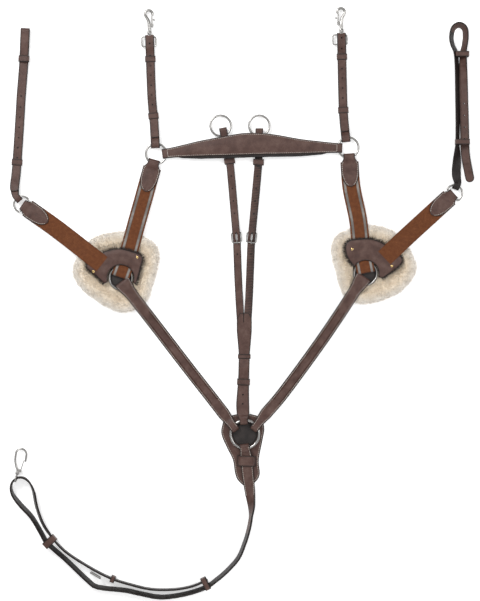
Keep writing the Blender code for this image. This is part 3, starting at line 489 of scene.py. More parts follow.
def run_facts(tree):
    facts = add(tree, "Attribute", attribute_name="run")
    return add(tree, "SeparateXYZ", {"Vector": facts.outputs["Vector"]}).outputs


def leather_material(name, deep, base, worn, edge):
    """Oiled bridle leather: pebbled grain, pores, mottled dye, a creased border and dressed dark edges."""
    made, tree, shader = begin(name, base, 0.42)
    spot = object_place(tree)
    cloud = clouds(tree, spot, 55.0, 5.0, Roughness=0.62)
    fibre = clouds(tree, spot, 520.0, 3.0, Roughness=0.6)
    blotch = plus(tree, times(tree, cloud, 0.72), times(tree, fibre, 0.28))
    colour = ramp(tree, blotch, ((0.34, deep), (0.5, base), (0.7, worn)))
    facts = run_facts(tree)
    # The edge colour also serves as painted shade: points whose edge distance is set to -1 on spans that
    # band_mesh darkens, and the floors left in punched holes, take it in full.
    rim = stretch(tree, facts["Z"], 0.7, 2.6, 1.0, 0.0)
    colour = mix(tree, rim, colour, (*edge, 1))
    crease = maths(tree, "ABSOLUTE", maths(tree, "SUBTRACT", facts["Z"], 2.9))
    crease = stretch(tree, crease, 0.0, 0.5, 1.0, 0.0)
    colour = mix(tree, times(tree, crease, 0.35), colour, (*edge, 1))
    tree.links.new(colour, shader.inputs["Base Color"])
    grain = add(tree, "TexVoronoi", {"Vector": spot, "Scale": 950.0, "Randomness": 0.9})
    grain.feature = "DISTANCE_TO_EDGE"
    pebble = stretch(tree, grain.outputs["Distance"], 0.0, 0.22, 0.0, 1.0)
    height = maths(tree, "SUBTRACT", plus(tree, pebble, fibre), crease)
    bumped(tree, shader, height, 0.38, 0.00022)
    rough = stretch(tree, cloud, 0.3, 0.7, 0.34, 0.56)
    tree.links.new(rough, shader.inputs["Roughness"])
    shader.inputs["Specular IOR Level"].default_value = 0.34
    return made


def sheen(shader, weight, roughness):
    """The soft shine of loose fibres."""
    shader.inputs["Sheen Weight"].default_value = weight
    shader.inputs["Sheen Roughness"].default_value = roughness
    shader.inputs["Specular IOR Level"].default_value = 0.2


def woven_material(name, base, light, pitch, slant=0.0):
    """Woven webbing: cords along the band crossed by a fine weft, or slanting ridges."""
    made, tree, shader = begin(name, base, 0.78)
    facts = run_facts(tree)
    along, across = facts["X"], facts["Y"]
    if slant:
        across = plus(tree, across, times(tree, along, slant))
    turn = 2 * math.pi
    cord = maths(tree, "SINE", times(tree, across, turn / pitch[0]))
    weft = maths(tree, "SINE", times(tree, along, turn / pitch[1]))
    weave = plus(tree, times(tree, cord, 0.5), times(tree, weft, 0.5))
    spot = object_place(tree)
    cloud = clouds(tree, spot, 140.0, 4.0, Roughness=0.6)
    fuzz = clouds(tree, spot, 1500.0, 2.0)
    tone = plus(tree, times(tree, weave, 0.3), times(tree, cloud, 0.7))
    tone = plus(tree, tone, times(tree, fuzz, 0.25))
    dark = tuple(c * 0.62 for c in base)
    colour = ramp(tree, tone, ((0.2, dark), (0.52, base), (0.85, light)))
    rim = stretch(tree, facts["Z"], 0.2, 1.6, 0.45, 0.0)
    colour = mix(tree, rim, colour, (*[c * 0.4 for c in base], 1))
    tree.links.new(colour, shader.inputs["Base Color"])
    bumped(tree, shader, plus(tree, weave, fuzz), 0.5, 0.0003)
    sheen(shader, 0.15, 0.5)
    return made


def fleece_material(name, shade, base, light, shine):
    """Wool: matt, with a soft sheen, creamier towards the pad's middle, each lock painted darker at its
    root and paler at its tip as painted shade and light.
    """
    made, tree, shader = begin(name, base, 0.92)
    spot = object_place(tree)
    cloud = clouds(tree, spot, 70.0, 4.0, Roughness=0.65)
    curl = clouds(tree, spot, 480.0, 3.0, Roughness=0.7)
    facts = run_facts(tree)
    tone = plus(tree, times(tree, cloud, 0.5), times(tree, curl, 0.3))
    # Painted shade and light along each lock: the share from root to tip lightens the wool.
    tone = plus(tree, tone, times(tree, facts["X"], 0.28))
    wool = ramp(tree, tone, ((0.25, shade), (0.5, base), (0.72, light)))
    warm = mix(tree, 1.0, wool, (1.0, 0.93, 0.82, 1), "MULTIPLY")
    tree.links.new(mix(tree, facts["Y"], wool, warm), shader.inputs["Base Color"])
    bumped(tree, shader, curl, 0.5, 0.0008)
    sheen(shader, shine, 0.6)
    return made


def metal_material(name, base, stain, roughness):
    """Plated metal with faint tarnish and hairline handling marks."""
    made, tree, shader = begin(name, base, roughness, 1.0)
    spot = object_place(tree)
    cloud = clouds(tree, spot, 130.0, 5.0, Roughness=0.65)
    marks = clouds(tree, spot, 900.0, 4.0, Distortion=1.4)
    colour = ramp(tree, cloud, ((0.32, stain), (0.52, base)))
    tree.links.new(colour, shader.inputs["Base Color"])
    rough = stretch(tree, cloud, 0.3, 0.7, roughness * 1.5, roughness * 0.8)
    tree.links.new(rough, shader.inputs["Roughness"])
    bumped(tree, shader, marks, 0.08, 0.00008)
    return made


def thread_material():
    """Pale waxed linen thread with its twist."""
    made, tree, shader = begin("waxed_thread", (0.46, 0.41, 0.36), 0.6)
    spot = object_place(tree)
    cloud = clouds(tree, spot, 240.0, 3.0)
    colour = ramp(tree, cloud, ((0.35, (0.38, 0.34, 0.30)), (0.6, (0.64, 0.59, 0.53))))
    tree.links.new(colour, shader.inputs["Base Color"])
    bumped(tree, shader, clouds(tree, spot, 2600.0, 2.0), 0.4, 0.0002)
    return made


def floor_material():
    """The studio's white floor, which also glows a little."""
    made, tree, shader = begin("studio_floor", (0.93, 0.93, 0.93), 0.9)
    cloud = clouds(tree, object_place(tree), 1.6, 2.0)
    colour = ramp(tree, cloud, ((0.3, (0.92, 0.92, 0.92)), (0.7, (0.94, 0.94, 0.94))))
    tree.links.new(colour, shader.inputs["Base Color"])
    shader.inputs["Emission Color"].default_value = (1, 1, 1, 1)
    shader.inputs["Emission Strength"].default_value = 0.42
    return made


MATERIALS = {
    "leather": leather_material(
        "bridle_leather_grain",
        deep=(0.052, 0.023, 0.017),
        base=(0.082, 0.041, 0.032),
        worn=(0.125, 0.074, 0.060),
        edge=(0.010, 0.006, 0.005),
    ),
    # Near-black leather for the wither lining, also used for the discs of painted shade inside the rings.
    "leather_dark": leather_material(
        "lining_leather_and_shade",
        deep=(0.010, 0.008, 0.007),
        base=(0.020, 0.015, 0.014),
        worn=(0.038, 0.029, 0.026),
        edge=(0.006, 0.005, 0.005),
    ),
    "elastic": woven_material("elastic_weave", (0.135, 0.041, 0.013), (0.22, 0.080, 0.028), (1.5, 1.3)),
    "stripe": woven_material(
        "grip_ribbon", (0.20, 0.18, 0.165), (0.36, 0.335, 0.31), (1.9, 60.0), slant=0.8
    ),
    "fleece": fleece_material(
        "sheepskin_wool", (0.60, 0.53, 0.44), (0.80, 0.745, 0.67), (0.95, 0.925, 0.88), shine=0.3
    ),
    # Near-black wool for the strands round the patch's edge: painted shade.
    "shade_wool": fleece_material(
        "painted_shade_wool", (0.016, 0.010, 0.008), (0.030, 0.020, 0.016), (0.060, 0.042, 0.034), shine=0.2
    ),
    "nickel": metal_material("nickel_polish", (0.43, 0.42, 0.405), (0.26, 0.25, 0.24), 0.27),
    "brass": metal_material("brass_rivet", (0.74, 0.53, 0.24), (0.50, 0.33, 0.13), 0.2),
    "thread": thread_material(),
    "floor": floor_material(),
}


# Bands: straps as dense rows of sections

CORNER_CUTS = 2
SHORTEST_SPAN = 1.1
FLESH_SIDE = -1.0

def rounded(profile, longest):
    """The side profile with its spans cut short and its corners cut off, so that it bends smoothly."""
    points = spread(profile, longest)
    for _ in range(CORNER_CUTS):
        smooth = [points[0]]
        for (s0, z0), (s1, z1) in zip(points, points[1:]):
            smooth.append((0.75 * s0 + 0.25 * s1, 0.75 * z0 + 0.25 * z1))
            smooth.append((0.25 * s0 + 0.75 * s1, 0.25 * z0 + 0.75 * z1))
        smooth.append(points[-1])
        points = smooth
    thin = [points[0]]
    for point in points[1:-1]:
        if math.dist(point, thin[-1]) > SHORTEST_SPAN:
            thin.append(point)
    return [*thin, points[-1]]


def with_tip(stations, first):
    """Extra stations in the last span of a strap, so that its corners can be round."""
    ends = stations[:2] if first else stations[:-3:-1]
    (s0, z0), (s1, z1) = ends
    extra = [(s0 + (s1 - s0) * t, z0 + (z1 - z0) * t) for t in (0.08, 0.2, 0.4, 0.65)]
    if first:
        return [stations[0], *extra, *stations[1:]]
    return [*stations[:-1], *extra[::-1], stations[-1]]


def value(given, s):
    return between(given, s) if isinstance(given, list) else given


class Band:
    """A flat strip in space: each station's middle, the ways across it and out of its face, its sizes."""

    def __init__(self, places, acrosses, ups, widths, thicks, closed=False):
        self.places = [Vector(p) for p in places]
        self.acrosses = acrosses
        self.ups = ups
        self.widths = widths
        self.thicks = thicks
        self.closed = closed
        self.run = [0.0]
        for a, b in zip(self.places, self.places[1:]):
            self.run.append(self.run[-1] + (b - a).length)
        self.length = self.run[-1]

    def at(self, run, x, lift=0.0):
        """A point on the face, at a length along the strip and an offset across it, and the axes there."""
        i = min(max(int(np.searchsorted(self.run, run)) - 1, 0), len(self.run) - 2)
        t = (run - self.run[i]) / max(self.run[i + 1] - self.run[i], 1e-6)
        place = self.places[i].lerp(self.places[i + 1], t)
        across = self.acrosses[i].lerp(self.acrosses[i + 1], t).normalized()
        up = self.ups[i].lerp(self.ups[i + 1], t).normalized()
        thick = self.thicks[i] + (self.thicks[i + 1] - self.thicks[i]) * t
        along = (self.places[i + 1] - self.places[i]).normalized()
        return place + across * x + up * (thick / 2 + lift), along, across, up

    def width_at(self, run):
        return float(np.interp(run, self.run, self.widths))


def route_band(
    route, profile, width, thickness=LEATHER, roll=0.0, longest=7.0, turned_over=False, tips=(0.0, 0.0)
):
    """The band of a strap along a route, as the frame's own straps are made, but with smooth bends.

    A strap that starts on top has its grain turned over. Tips are the corner radii of its two ends.
    """
    stations = rounded(profile, longest)
    for first, radius in ((True, tips[0]), (False, tips[1])):
        if radius:
            stations = with_tip(stations, first)
    places = [Vector((*route.at(s)[0], z)) for s, z in stations]
    acrosses, ups, widths, thicks = [], [], [], []
    last = len(places) - 1
    for i, (s, _) in enumerate(stations):
        direction = route.at(s)[1]
        tangent = (places[min(i + 1, last)] - places[max(i - 1, 0)]).normalized()
        side = Vector((-direction.y, direction.x, 0))
        across = Matrix.Rotation(math.radians(value(roll, s)), 3, tangent) @ side
        acrosses.append(across)
        ups.append(tangent.cross(across).normalized() * (-1 if turned_over else 1))
        widths.append(value(width, s))
        thicks.append(value(thickness, s))
    band = Band(places, acrosses, ups, widths, thicks)
    for i, run in enumerate(band.run):
        for radius, away in ((tips[0], run), (tips[1], band.length - run)):
            if away < radius:
                half_chord = math.sqrt(max(radius**2 - (radius - away) ** 2, 0.0))
                band.widths[i] -= 2 * (radius - half_chord)
    return band


def section_points(width, thickness, corner, crown, ridge):
    """The section's outline as (across, height, distance from the cut edge).

    Its corners are round and its face is crowned. A ridge (border, drop) sinks a border along both sides.
    """
    w, t = width / 2, thickness / 2
    c = min(corner, t * 0.95, w * 0.4)
    columns = [1.0, 0.86, 0.72, 0.5, 0.25, 0.0, -0.25, -0.5, -0.72, -0.86, -1.0]
    if ridge:
        border, drop = ridge
        inner = w - border
        columns = [(w - c), inner + 1.0, inner + 0.4, inner - 0.6, inner - 1.8, inner * 0.45, 0.0]
        columns = [x / (w - c) for x in columns]
        columns += [-x for x in columns[-2::-1]]

    def round_corner(angles, right, top):
        return [(right * (w - c + c * math.cos(a)), top * (t - c + c * math.sin(a))) for a in angles]

    bend = [math.radians(30 * k) for k in range(3)]
    points = round_corner(bend, 1, 1)
    for x in columns:
        x *= w - c
        h = t + crown * (1 - (x / w) ** 2)
        if ridge:
            h -= drop * min(max((abs(x) - inner + 0.5) / 1.5, 0.0), 1.0)
        points.append((x, h))
    points += round_corner(bend[::-1], -1, 1) + round_corner(bend, -1, -1)
    points += [(x * (w - c), -t) for x in (-1.0, -0.5, 0.0, 0.5, 1.0)]
    points += round_corner(bend[::-1], 1, -1)
    return [(x, y, w - abs(x) if y > -t + 0.1 else FLESH_SIDE) for x, y in points]


def faced(name, points, faces, facts, finish, sharp=40):
    """The piece with these points, in metres, and its facts.

    Facts hold each point's length along, offset across and distance from the edge.
    """
    mesh = bpy.data.meshes.new(name)
    mesh.from_pydata(points, [], faces)
    attribute = mesh.attributes.new("run", "FLOAT_VECTOR", "POINT")
    attribute.data.foreach_set("vector", np.array(facts, np.float32).reshape(-1))
    return finished(name, mesh, finish, sharp)


def skin(name, rows, facts, finish, closed=False):
    """A piece over rows of points."""
    rows = np.array(rows, float)
    count, ring = rows.shape[:2]
    flat = (rows.reshape(-1, 3) + np.array(SHIFT)) * MM
    faces = []
    for i in range(count if closed else count - 1):
        a, b = i * ring, ((i + 1) % count) * ring
        for k in range(ring):
            n = (k + 1) % ring
            faces.append((a + k, a + n, b + n, b + k))
    if not closed:
        faces.append(tuple(range(ring - 1, -1, -1)))
        faces.append(tuple((count - 1) * ring + k for k in range(ring)))
    return faced(name, flat.tolist(), faces, facts, finish)


def finished(name, mesh, finish, sharp=40):
    """The object for a mesh, facing out, smooth where it's round."""
    bm = bmesh.new()
    bm.from_mesh(mesh)
    bmesh.ops.recalc_face_normals(bm, faces=bm.faces)
    bm.to_mesh(mesh)
    bm.free()
    mesh.materials.append(MATERIALS[finish])
    mesh.shade_smooth()
    mesh.set_sharp_from_angle(angle=math.radians(sharp))
    return linked(name, mesh)


def linked(name, data):
    """A new object of the scene."""
    made = bpy.data.objects.new(name, data)
    bpy.context.scene.collection.objects.link(made)
    return made


def band_mesh(name, band, finish="leather", corner=0.7, crown=0.0, ridge=None, dark=(0.0, 0.0)):
    """The piece for a band. A ridge stands only where it's thick; between two lengths the band is painted
    dark all over in the edge colour, as painted shade.
    """
    rows, facts = [], []
    for i, place in enumerate(band.places):
        swell = value(crown, band.run[i])
        flat = ridge and (ridge[0], 0.0)
        ridged = ridge if band.thicks[i] > LEATHER * 1.3 else flat
        outline = section_points(band.widths[i], band.thicks[i], corner, swell, ridged)
        rows.append([place + band.acrosses[i] * x + band.ups[i] * y for x, y, _ in outline])
        end = 99.0 if band.closed else min(band.run[i], band.length - band.run[i])
        run = band.run[i]
        # Between the two lengths the edge distance drops to -1, so the surface takes the dark edge colour:
        # painted shade.
        shade = min(max((run - dark[0]) / 8, 0.0), max((dark[1] - run) / 8, 0.0), 1.0)
        facts.append([(run, x, min(e, end + 0.3) * (1 - shade) - shade) for x, _, e in outline])
    return skin(name, rows, facts, finish, band.closed)


def settle(obj, body, *nodes, slot=None):
    """The piece rides on its body and stands for its nodes; its slot is not used."""
    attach(obj, body)
    if nodes:
        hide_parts(*nodes)
    return obj


def metres(point):
    return (point + SHIFT) * MM


def cut_holes(obj, shapes):
    """Cuts round holes or slots through a piece and keeps the result as its mesh."""
    bm = bmesh.new()
    for outline, low, high in shapes:
        rows = [[bm.verts.new(metres(Vector((*p, z)))) for p in outline] for z in (low, high)]
        for k in range(len(outline)):
            n = (k + 1) % len(outline)
            bm.faces.new((rows[0][k], rows[0][n], rows[1][n], rows[1][k]))
        bm.faces.new(rows[0])
        bm.faces.new(rows[1])
    bmesh.ops.recalc_face_normals(bm, faces=bm.faces)
    mesh = bpy.data.meshes.new("cutter")
    bm.to_mesh(mesh)
    bm.free()
    combine(obj, linked("cutter", mesh), "DIFFERENCE")


def combine(obj, tool, operation):
    """A Boolean, applied, and its tool removed."""
    modifier = obj.modifiers.new("cut", "BOOLEAN")
    modifier.operation = operation
    modifier.object = tool
    apply_modifiers(obj)
    bpy.data.objects.remove(tool, do_unlink=True)


def apply_modifiers(obj):
    """The object's mesh as its modifiers leave it."""
    bpy.context.view_layer.update()
    graph = bpy.context.evaluated_depsgraph_get()
    mesh = bpy.data.meshes.new_from_object(obj.evaluated_get(graph))
    obj.modifiers.clear()
    obj.data = mesh


def circle(centre, radius, count=20, stretch=None):
    """A round outline, or a slot's where stretch is a vector to its end."""
    points = []
    for k in range(count):
        a = 2 * math.pi * (k + 0.5) / count
        out = Vector((math.cos(a), math.sin(a)))
        end = Vector((0, 0))
        if stretch is not None:
            end = stretch if out.dot(stretch) > 0 else -stretch
        points.append(Vector(centre) + out * radius + end)
    return points


def punched(obj, route, distances, face):
    """Awl holes in the upper layer of a strap, whose middle runs at the heights that face gives. Each hole
    stops short of the layer's underside, and the thin floor it leaves takes the dark edge colour: painted
    shadow in the hole.
    """
    shapes = []
    for s in distances:
        shapes.append((circle(route.at(s)[0], HOLE_RADIUS), between(face, s) - HOLE_DEPTH, CUT_TOP))
    cut_holes(obj, shapes)


# Stitches

STITCH_PITCH = 4.2
STITCH_LENGTH = 3.4
STITCH_RADIUS = 0.55
SOFT_ANGLE = 80

class Thread:
    """Gathers stitches and makes one mesh of them."""

    def __init__(self):
        self.points = []
        self.faces = []

    def stitch(self, middle, along, up):
        """One lying stitch, round in section, with its ends sunk into the leather."""
        side = up.cross(along).normalized()
        base = len(self.points)
        for x, r, drop in ((-0.5, 0.35, 0.35), (-0.36, 0.9, 0.05), (0.36, 0.9, 0.05), (0.5, 0.35, 0.35)):
            for k in range(6):
                a = math.pi * k / 3
                out = r * STITCH_RADIUS
                spot = middle + along * (x * STITCH_LENGTH) + side * (out * math.cos(a))
                spot += up * (out * math.sin(a) * 0.8 - drop)
                self.points.append(metres(spot))
        for ring in range(3):
            for k in range(6):
                a, b = base + ring * 6 + k, base + ring * 6 + (k + 1) % 6
                self.faces.append((a, b, b + 6, a + 6))
        self.faces.append(tuple(base + k for k in range(5, -1, -1)))
        self.faces.append(tuple(base + 18 + k for k in range(6)))

    def row(self, points):
        """Stitches along a line of (place, up) pairs."""
        lengths = [0.0]
        for (a, _), (b, _) in zip(points, points[1:]):
            lengths.append(lengths[-1] + (b - a).length)
        count = max(1, round(lengths[-1] / STITCH_PITCH))
        for k in range(count):
            run = (k + 0.5) * lengths[-1] / count
            i = min(max(int(np.searchsorted(lengths, run)) - 1, 0), len(points) - 2)
            t = (run - lengths[i]) / max(lengths[i + 1] - lengths[i], 1e-6)
            (a, up_a), (b, up_b) = points[i], points[i + 1]
            self.stitch(a.lerp(b, t), (b - a).normalized(), up_a.lerp(up_b, t).normalized())

    def along_band(self, band, first, last, inset, lift):
        """A row beside each edge of a band, between two lengths along it."""
        for sign in (1, -1):
            points = []
            steps = max(2, int((last - first) / 4))
            for k in range(steps + 1):
                run = first + (last - first) * k / steps
                spot, _, _, up = band.at(run, sign * (band.width_at(run) / 2 - inset), lift)
                points.append((spot, up))
            self.row(points)

    def across_band(self, band, run, inset, lift):
        half = band.width_at(run) / 2 - inset
        first, _, _, up = band.at(run, -half, lift)
        last = band.at(run, half, lift)[0]
        self.row([(first, up), (last, up)])

    def made(self, name, body):
        mesh = bpy.data.meshes.new(name)
        mesh.from_pydata([tuple(p) for p in self.points], [], self.faces)
        return settle(finished(name, mesh, "thread", SOFT_ANGLE), body)


# Metalwork

NO_EDGE = 9.0
LATHE_SIDES = 28
DISC_SIDES = 24

def smooth_rod(path, radii, closed, steps):
    """A denser path and radii through given points."""
    count = len(path)

    def index(j):
        return j % count if closed else min(max(j, 0), count - 1)

    dense, sizes = [], []
    for i in range(count if closed else count - 1):
        p = [Vector(path[index(j)]) for j in range(i - 1, i + 3)]
        r = [radii[index(j)] for j in range(i, i + 2)]
        for step in range(steps):
            t = step / steps
            dense.append(curve_point(*p, t))
            sizes.append(r[0] + (r[1] - r[0]) * t)
    if not closed:
        dense.append(Vector(path[-1]))
        sizes.append(radii[-1])
    return dense, sizes


def rod(name, path, radius, closed=False, sides=14, steps=4):
    """A round bar along points in space, with domed ends unless it's closed."""
    radii = radius if isinstance(radius, list) else [radius] * len(path)
    path, radii = smooth_rod(path, radii, closed, steps)
    if not closed:
        first, last = (path[0] - path[1]).normalized(), (path[-1] - path[-2]).normalized()
        path = [path[0] + first * radii[0] * 0.5, path[0] + first * radii[0] * 0.3, *path]
        radii = [radii[0] * 0.35, radii[0] * 0.8, *radii]
        path += [path[-1] + last * radii[-1] * 0.3, path[-1] + last * radii[-1] * 0.5]
        radii += [radii[-1] * 0.8, radii[-1] * 0.35]
    count = len(path)
    rows, facts = [], []
    normal = None
    run = 0.0
    for i, point in enumerate(path):
        before = path[i - 1] if closed or i else path[0]
        after = path[(i + 1) % count] if closed or i < count - 1 else path[-1]
        tangent = (after - before).normalized()
        if normal is None:
            normal = tangent.orthogonal().normalized()
            if abs(tangent.z) < 0.9:
                normal = Vector((0, 0, 1)).cross(tangent).normalized()
        normal = (normal - tangent * normal.dot(tangent)).normalized()
        other = tangent.cross(normal)
        if i:
            run += (point - path[i - 1]).length
        angles = [2 * math.pi * k / sides for k in range(sides)]
        rows.append([point + (normal * math.cos(a) + other * math.sin(a)) * radii[i] for a in angles])
        facts.append([(run, 0.0, NO_EDGE)] * sides)
    return skin(name, rows, facts, "nickel", closed)


def upright(path, start, direction):
    """Points given along a direction and up, in the upright plane through a start."""
    return [Vector((start.x + direction.x * x, start.y + direction.y * x, z)) for x, z in path]


def lifted(path, z):
    return [Vector((p[0], p[1], z)) for p in path]


def wheel(name, centre, z, radius, wire):
    """An O-ring that lies flat."""
    return rod(name, lifted(disc(centre, radius), z), wire, closed=True, sides=20)


def lathed(name, start, direction, z, stations):
    """A turned piece along a direction in the plan."""
    side = Vector((-direction.y, direction.x))
    rows, facts = [], []
    for x, r in stations:
        centre = start + direction * x
        row = []
        for k in range(LATHE_SIDES):
            a = 2 * math.pi * k / LATHE_SIDES
            spot = centre + side * (r * math.cos(a))
            row.append((spot.x, spot.y, z + r * math.sin(a)))
        rows.append(row)
        facts.append([(x, 0.0, NO_EDGE)] * LATHE_SIDES)
    return skin(name, rows, facts, "nickel")


def block(name, corners, low, high):
    """An upright prism over corners in the plan."""
    rows = [[(p[0], p[1], z) for p in corners] for z in (low, high)]
    return skin(name, rows, [[(0.0, 0.0, NO_EDGE)] * len(corners)] * 2, "nickel")


def disc(centre, radius):
    return arc(centre, radius, 0, 345, DISC_SIDES)


def cast(name, pieces, voxel=0.42, smooth=5):
    """Joins pieces into one cast body with soft joints."""
    bm = bmesh.new()
    for piece in pieces:
        bm.from_mesh(piece.data)
    mesh = bpy.data.meshes.new(name)
    bm.to_mesh(mesh)
    bm.free()
    mesh.materials.append(MATERIALS["nickel"])
    for piece in pieces:
        bpy.data.objects.remove(piece, do_unlink=True)
    body = linked(name, mesh)
    remesh = body.modifiers.new("remesh", "REMESH")
    remesh.mode = "VOXEL"
    remesh.voxel_size = voxel * MM
    soften = body.modifiers.new("soften", "SMOOTH")
    soften.factor = 0.6
    soften.iterations = smooth
    apply_modifiers(body)
    body.data.shade_smooth()
    return body


def creased(obj):
    """Sharp shading where a casting was cut."""
    obj.data.set_sharp_from_angle(angle=math.radians(45))


# Leather loops and plates

UP = Vector((0, 0, 1))
LOOP_SPAN = 2.7
PLATE_PITCH = 2.2
PLATE_BORDER = (0.12, 0.4, 0.9, 2.2)
PLATE_MARGIN = 3.4

def keeper(name, route, s, low, high, inside, body, length=KEEPER_LENGTH, carried=True):
    """A leather loop round a strap, with rounded folds. A loop that isn't carried stands for no node."""
    corner, wall = 2.0, KEEPER_WALL
    place, direction = route.at(s)
    along = Vector((direction.x, direction.y, 0))
    across = Vector((-direction.y, direction.x, 0))
    centre = Vector((place.x, place.y, (low + high) / 2))
    half_x, half_z = (inside + wall) / 2, (high - low + wall) / 2
    outline = split_sides(rounded_box_path(-half_x, half_x, -half_z, half_z, corner))
    places = [centre + across * x + UP * y for x, y in outline]
    ups = []
    for i, (x, y) in enumerate(outline):
        before, after = Vector(outline[i - 1]), Vector(outline[(i + 1) % len(outline)])
        tangent = (after - before).normalized()
        out = Vector((tangent.y, -tangent.x))
        if out.dot(Vector((x, y))) < 0:
            out = -out
        ups.append(across * out.x + UP * out.y)
    count = len(places)
    band = Band(places, [along] * count, ups, [length] * count, [wall] * count, closed=True)
    made = band_mesh(name + "_look", band, "leather", corner=0.5)
    return settle(made, body, *([name] if carried else []), slot="bridle_leather")


def split_sides(outline):
    """A closed outline with its long sides split."""
    points = []
    for i, start in enumerate(outline):
        end = outline[(i + 1) % len(outline)]
        pieces = max(1, math.ceil(math.dist(start, end) / LOOP_SPAN))
        for k in range(pieces):
            t = k / pieces
            points.append((start[0] + (end[0] - start[0]) * t, start[1] + (end[1] - start[1]) * t))
    return points


def closed_path(outline, steps):
    """A smooth closed curve through an outline's points."""
    points = [Vector(p) for p in outline]
    wrapped = [points[-2], points[-1], *points, points[0], points[1]]
    return smooth_path(wrapped, steps)[2 * steps :][: len(points) * steps]


def edge_distance(points, outline):
    """Each point's distance from a closed outline."""
    points = np.array([tuple(p) for p in points], float)
    ring = np.array([tuple(p) for p in outline], float)
    best = np.full(len(points), 1e9)
    for a, b in zip(ring, np.roll(ring, -1, axis=0)):
        d = b - a
        t = np.clip(((points - a) @ d) / max(d @ d, 1e-9), 0, 1)
        best = np.minimum(best, np.linalg.norm(points - (a + t[:, None] * d), axis=1))
    return best


def well_inside(spot, outline, margin):
    return inside(spot, outline) and edge_distance([spot], outline)[0] > margin


def plate(name, outline, low, thickness, swell, finish="leather", rim=0.8):
    """A leather piece over an outline: rounded cut edges and a face that swells a little in its middle."""
    outline = [Vector(p).to_2d() for p in outline]
    count = len(outline)
    spots = list(outline)
    for inset in PLATE_BORDER:
        spots += offset_points(outline, inset)
    low_x, high_x = min(p.x for p in outline), max(p.x for p in outline)
    low_y, high_y = min(p.y for p in outline), max(p.y for p in outline)
    for i in range(int((high_x - low_x) / PLATE_PITCH)):
        for j in range(int((high_y - low_y) / PLATE_PITCH)):
            x = low_x + (i + 0.5 * (j % 2)) * PLATE_PITCH
            spot = Vector((x, low_y + j * PLATE_PITCH))
            if well_inside(spot, outline, PLATE_MARGIN):
                spots.append(spot)
    edges = [(k, (k + 1) % count) for k in range(count)]
    verts, _, faces, *_ = geometry.delaunay_2d_cdt(spots, edges, [], 1, 1e-4)
    away = edge_distance(verts, outline)
    points, facts = [], []
    for vert, d in zip(verts, away):
        drop = rim - math.sqrt(max(rim**2 - max(rim - d, 0.0) ** 2, 0.0))
        z = low + thickness - drop + swell * min(d / 9.0, 1.0) ** 0.6
        points.append((vert.x, vert.y, z))
        facts.append((vert.x, vert.y, float(d)))
    top = len(points)
    points += [(p.x, p.y, low) for p in outline]
    facts += [(p.x, p.y, 0.0) for p in outline]
    ring = [int(np.argmin([(v - p).length for v in verts])) for p in outline]
    faces = [tuple(f) for f in faces]
    for k in range(count):
        n = (k + 1) % count
        faces.append((ring[k], ring[n], top + n, top + k))
    faces.append(tuple(top + k for k in range(count)))
    points = (np.array(points) + np.array(SHIFT)) * MM
    return faced(name, points.tolist(), faces, facts, finish)


def offset_points(outline, inset):
    """Points beside an outline on its inner side, those that truly are that far from it."""
    points = []
    for i, point in enumerate(outline):
        after = outline[(i + 1) % len(outline)]
        tangent = (after - outline[i - 1]).normalized()
        for side in (Vector((-tangent.y, tangent.x)), Vector((tangent.y, -tangent.x))):
            spot = point + side * inset
            if well_inside(spot, outline, inset * 0.9):
                points.append(spot)
    return points


def rivet(name, centre, z, radius, body):
    """A domed rivet head."""
    rows, facts = [], []
    for r, h in ((1.0, 0.0), (1.0, 0.35), (0.92, 0.7), (0.7, 1.0), (0.4, 1.15), (0.08, 1.2)):
        rows.append([(*p, z + h) for p in disc(centre, r * radius)])
        facts.append([(0.0, 0.0, NO_EDGE)] * DISC_SIDES)
    return settle(skin(name, rows, facts, "brass"), body)


# Snap straps and their bolt snaps


def snap_strap(side):
    """The strap that is folded round the wither ring and the snap's frame, and what it carries."""
    data = SNAPS[side]
    route = Route(data["route"])
    end = route.length
    body = "snap_strap_" + side
    fold = turn_at_start(WITHER_WIRE, RING_Z, depth=5.0, lift=SNAP_LIFT, downwards=True)
    profile = [(42, UPPER), (22, UPPER), (12, 9.6), (3, fold[0][1]), *fold, (8, LOW), (end - 6, LOW)]
    profile += turn_at_end(end, SNAP_BAR, SNAP_Z, upwards=True)
    top = SNAP_Z + SNAP_BAR + GAP + LEATHER / 2
    profile += [(end - SNAP_FRAME[0] - 3, top), (end - 36, UPPER), (60, UPPER), (46, THIRD)]
    profile += [(25, 10.4), (13, 13.4)]
    band = route_band(route, profile, SNAP_WIDTH, turned_over=True, tips=(0.0, 3.0))
    made = band_mesh(body + "_look", band)
    punched(made, route, data["holes"], [(25, 10.4), (46, THIRD), (60, UPPER), (end - 36, UPPER)])
    start, direction = route.at(end)
    corners = turned(((0.6, -3), (9, -3), (9, 3), (0.6, 3)), start, direction)
    cut_holes(made, [(corners, SNAP_Z - 3, SNAP_Z + 3)])
    settle(made, body, body, slot="bridle_leather")
    upper, lower = data["keepers"]
    under, inner = REST - 0.3, SNAP_WIDTH + 1.0
    name = "snap_keeper_" + side
    keeper(name, route, upper, under, UPPER + 1.5, inner, name)
    keeper(f"snap_keeper_lower_{side}", route, lower, under, THIRD - 0.4, inner, body, carried=False)
    snap_base(side, start, direction, data["offset"])
    bolt_snap(side, start, direction, data["hand"])


def snap_base(side, start, direction, offset):
    """The snap's square frame and the post that its hook turns on."""
    length, half = SNAP_FRAME
    path = rounded_box_path(-length, 0, offset - half, offset + half, 4)
    frame = rod("frame", lifted(turned(path, start, direction), SNAP_Z), SNAP_BAR, closed=True, steps=3)
    first, last, head = HEAD
    stations = ((-0.6, POST_RADIUS), (first, POST_RADIUS), (first + 0.2, head), (last, head))
    post = lathed("post", start, direction, SNAP_Z, stations)
    made = cast("snap_base_" + side + "_look", [frame, post], 0.36, 3)
    settle(made, "snap_strap_" + side, "snap_base_" + side, slot="nickel_plate")


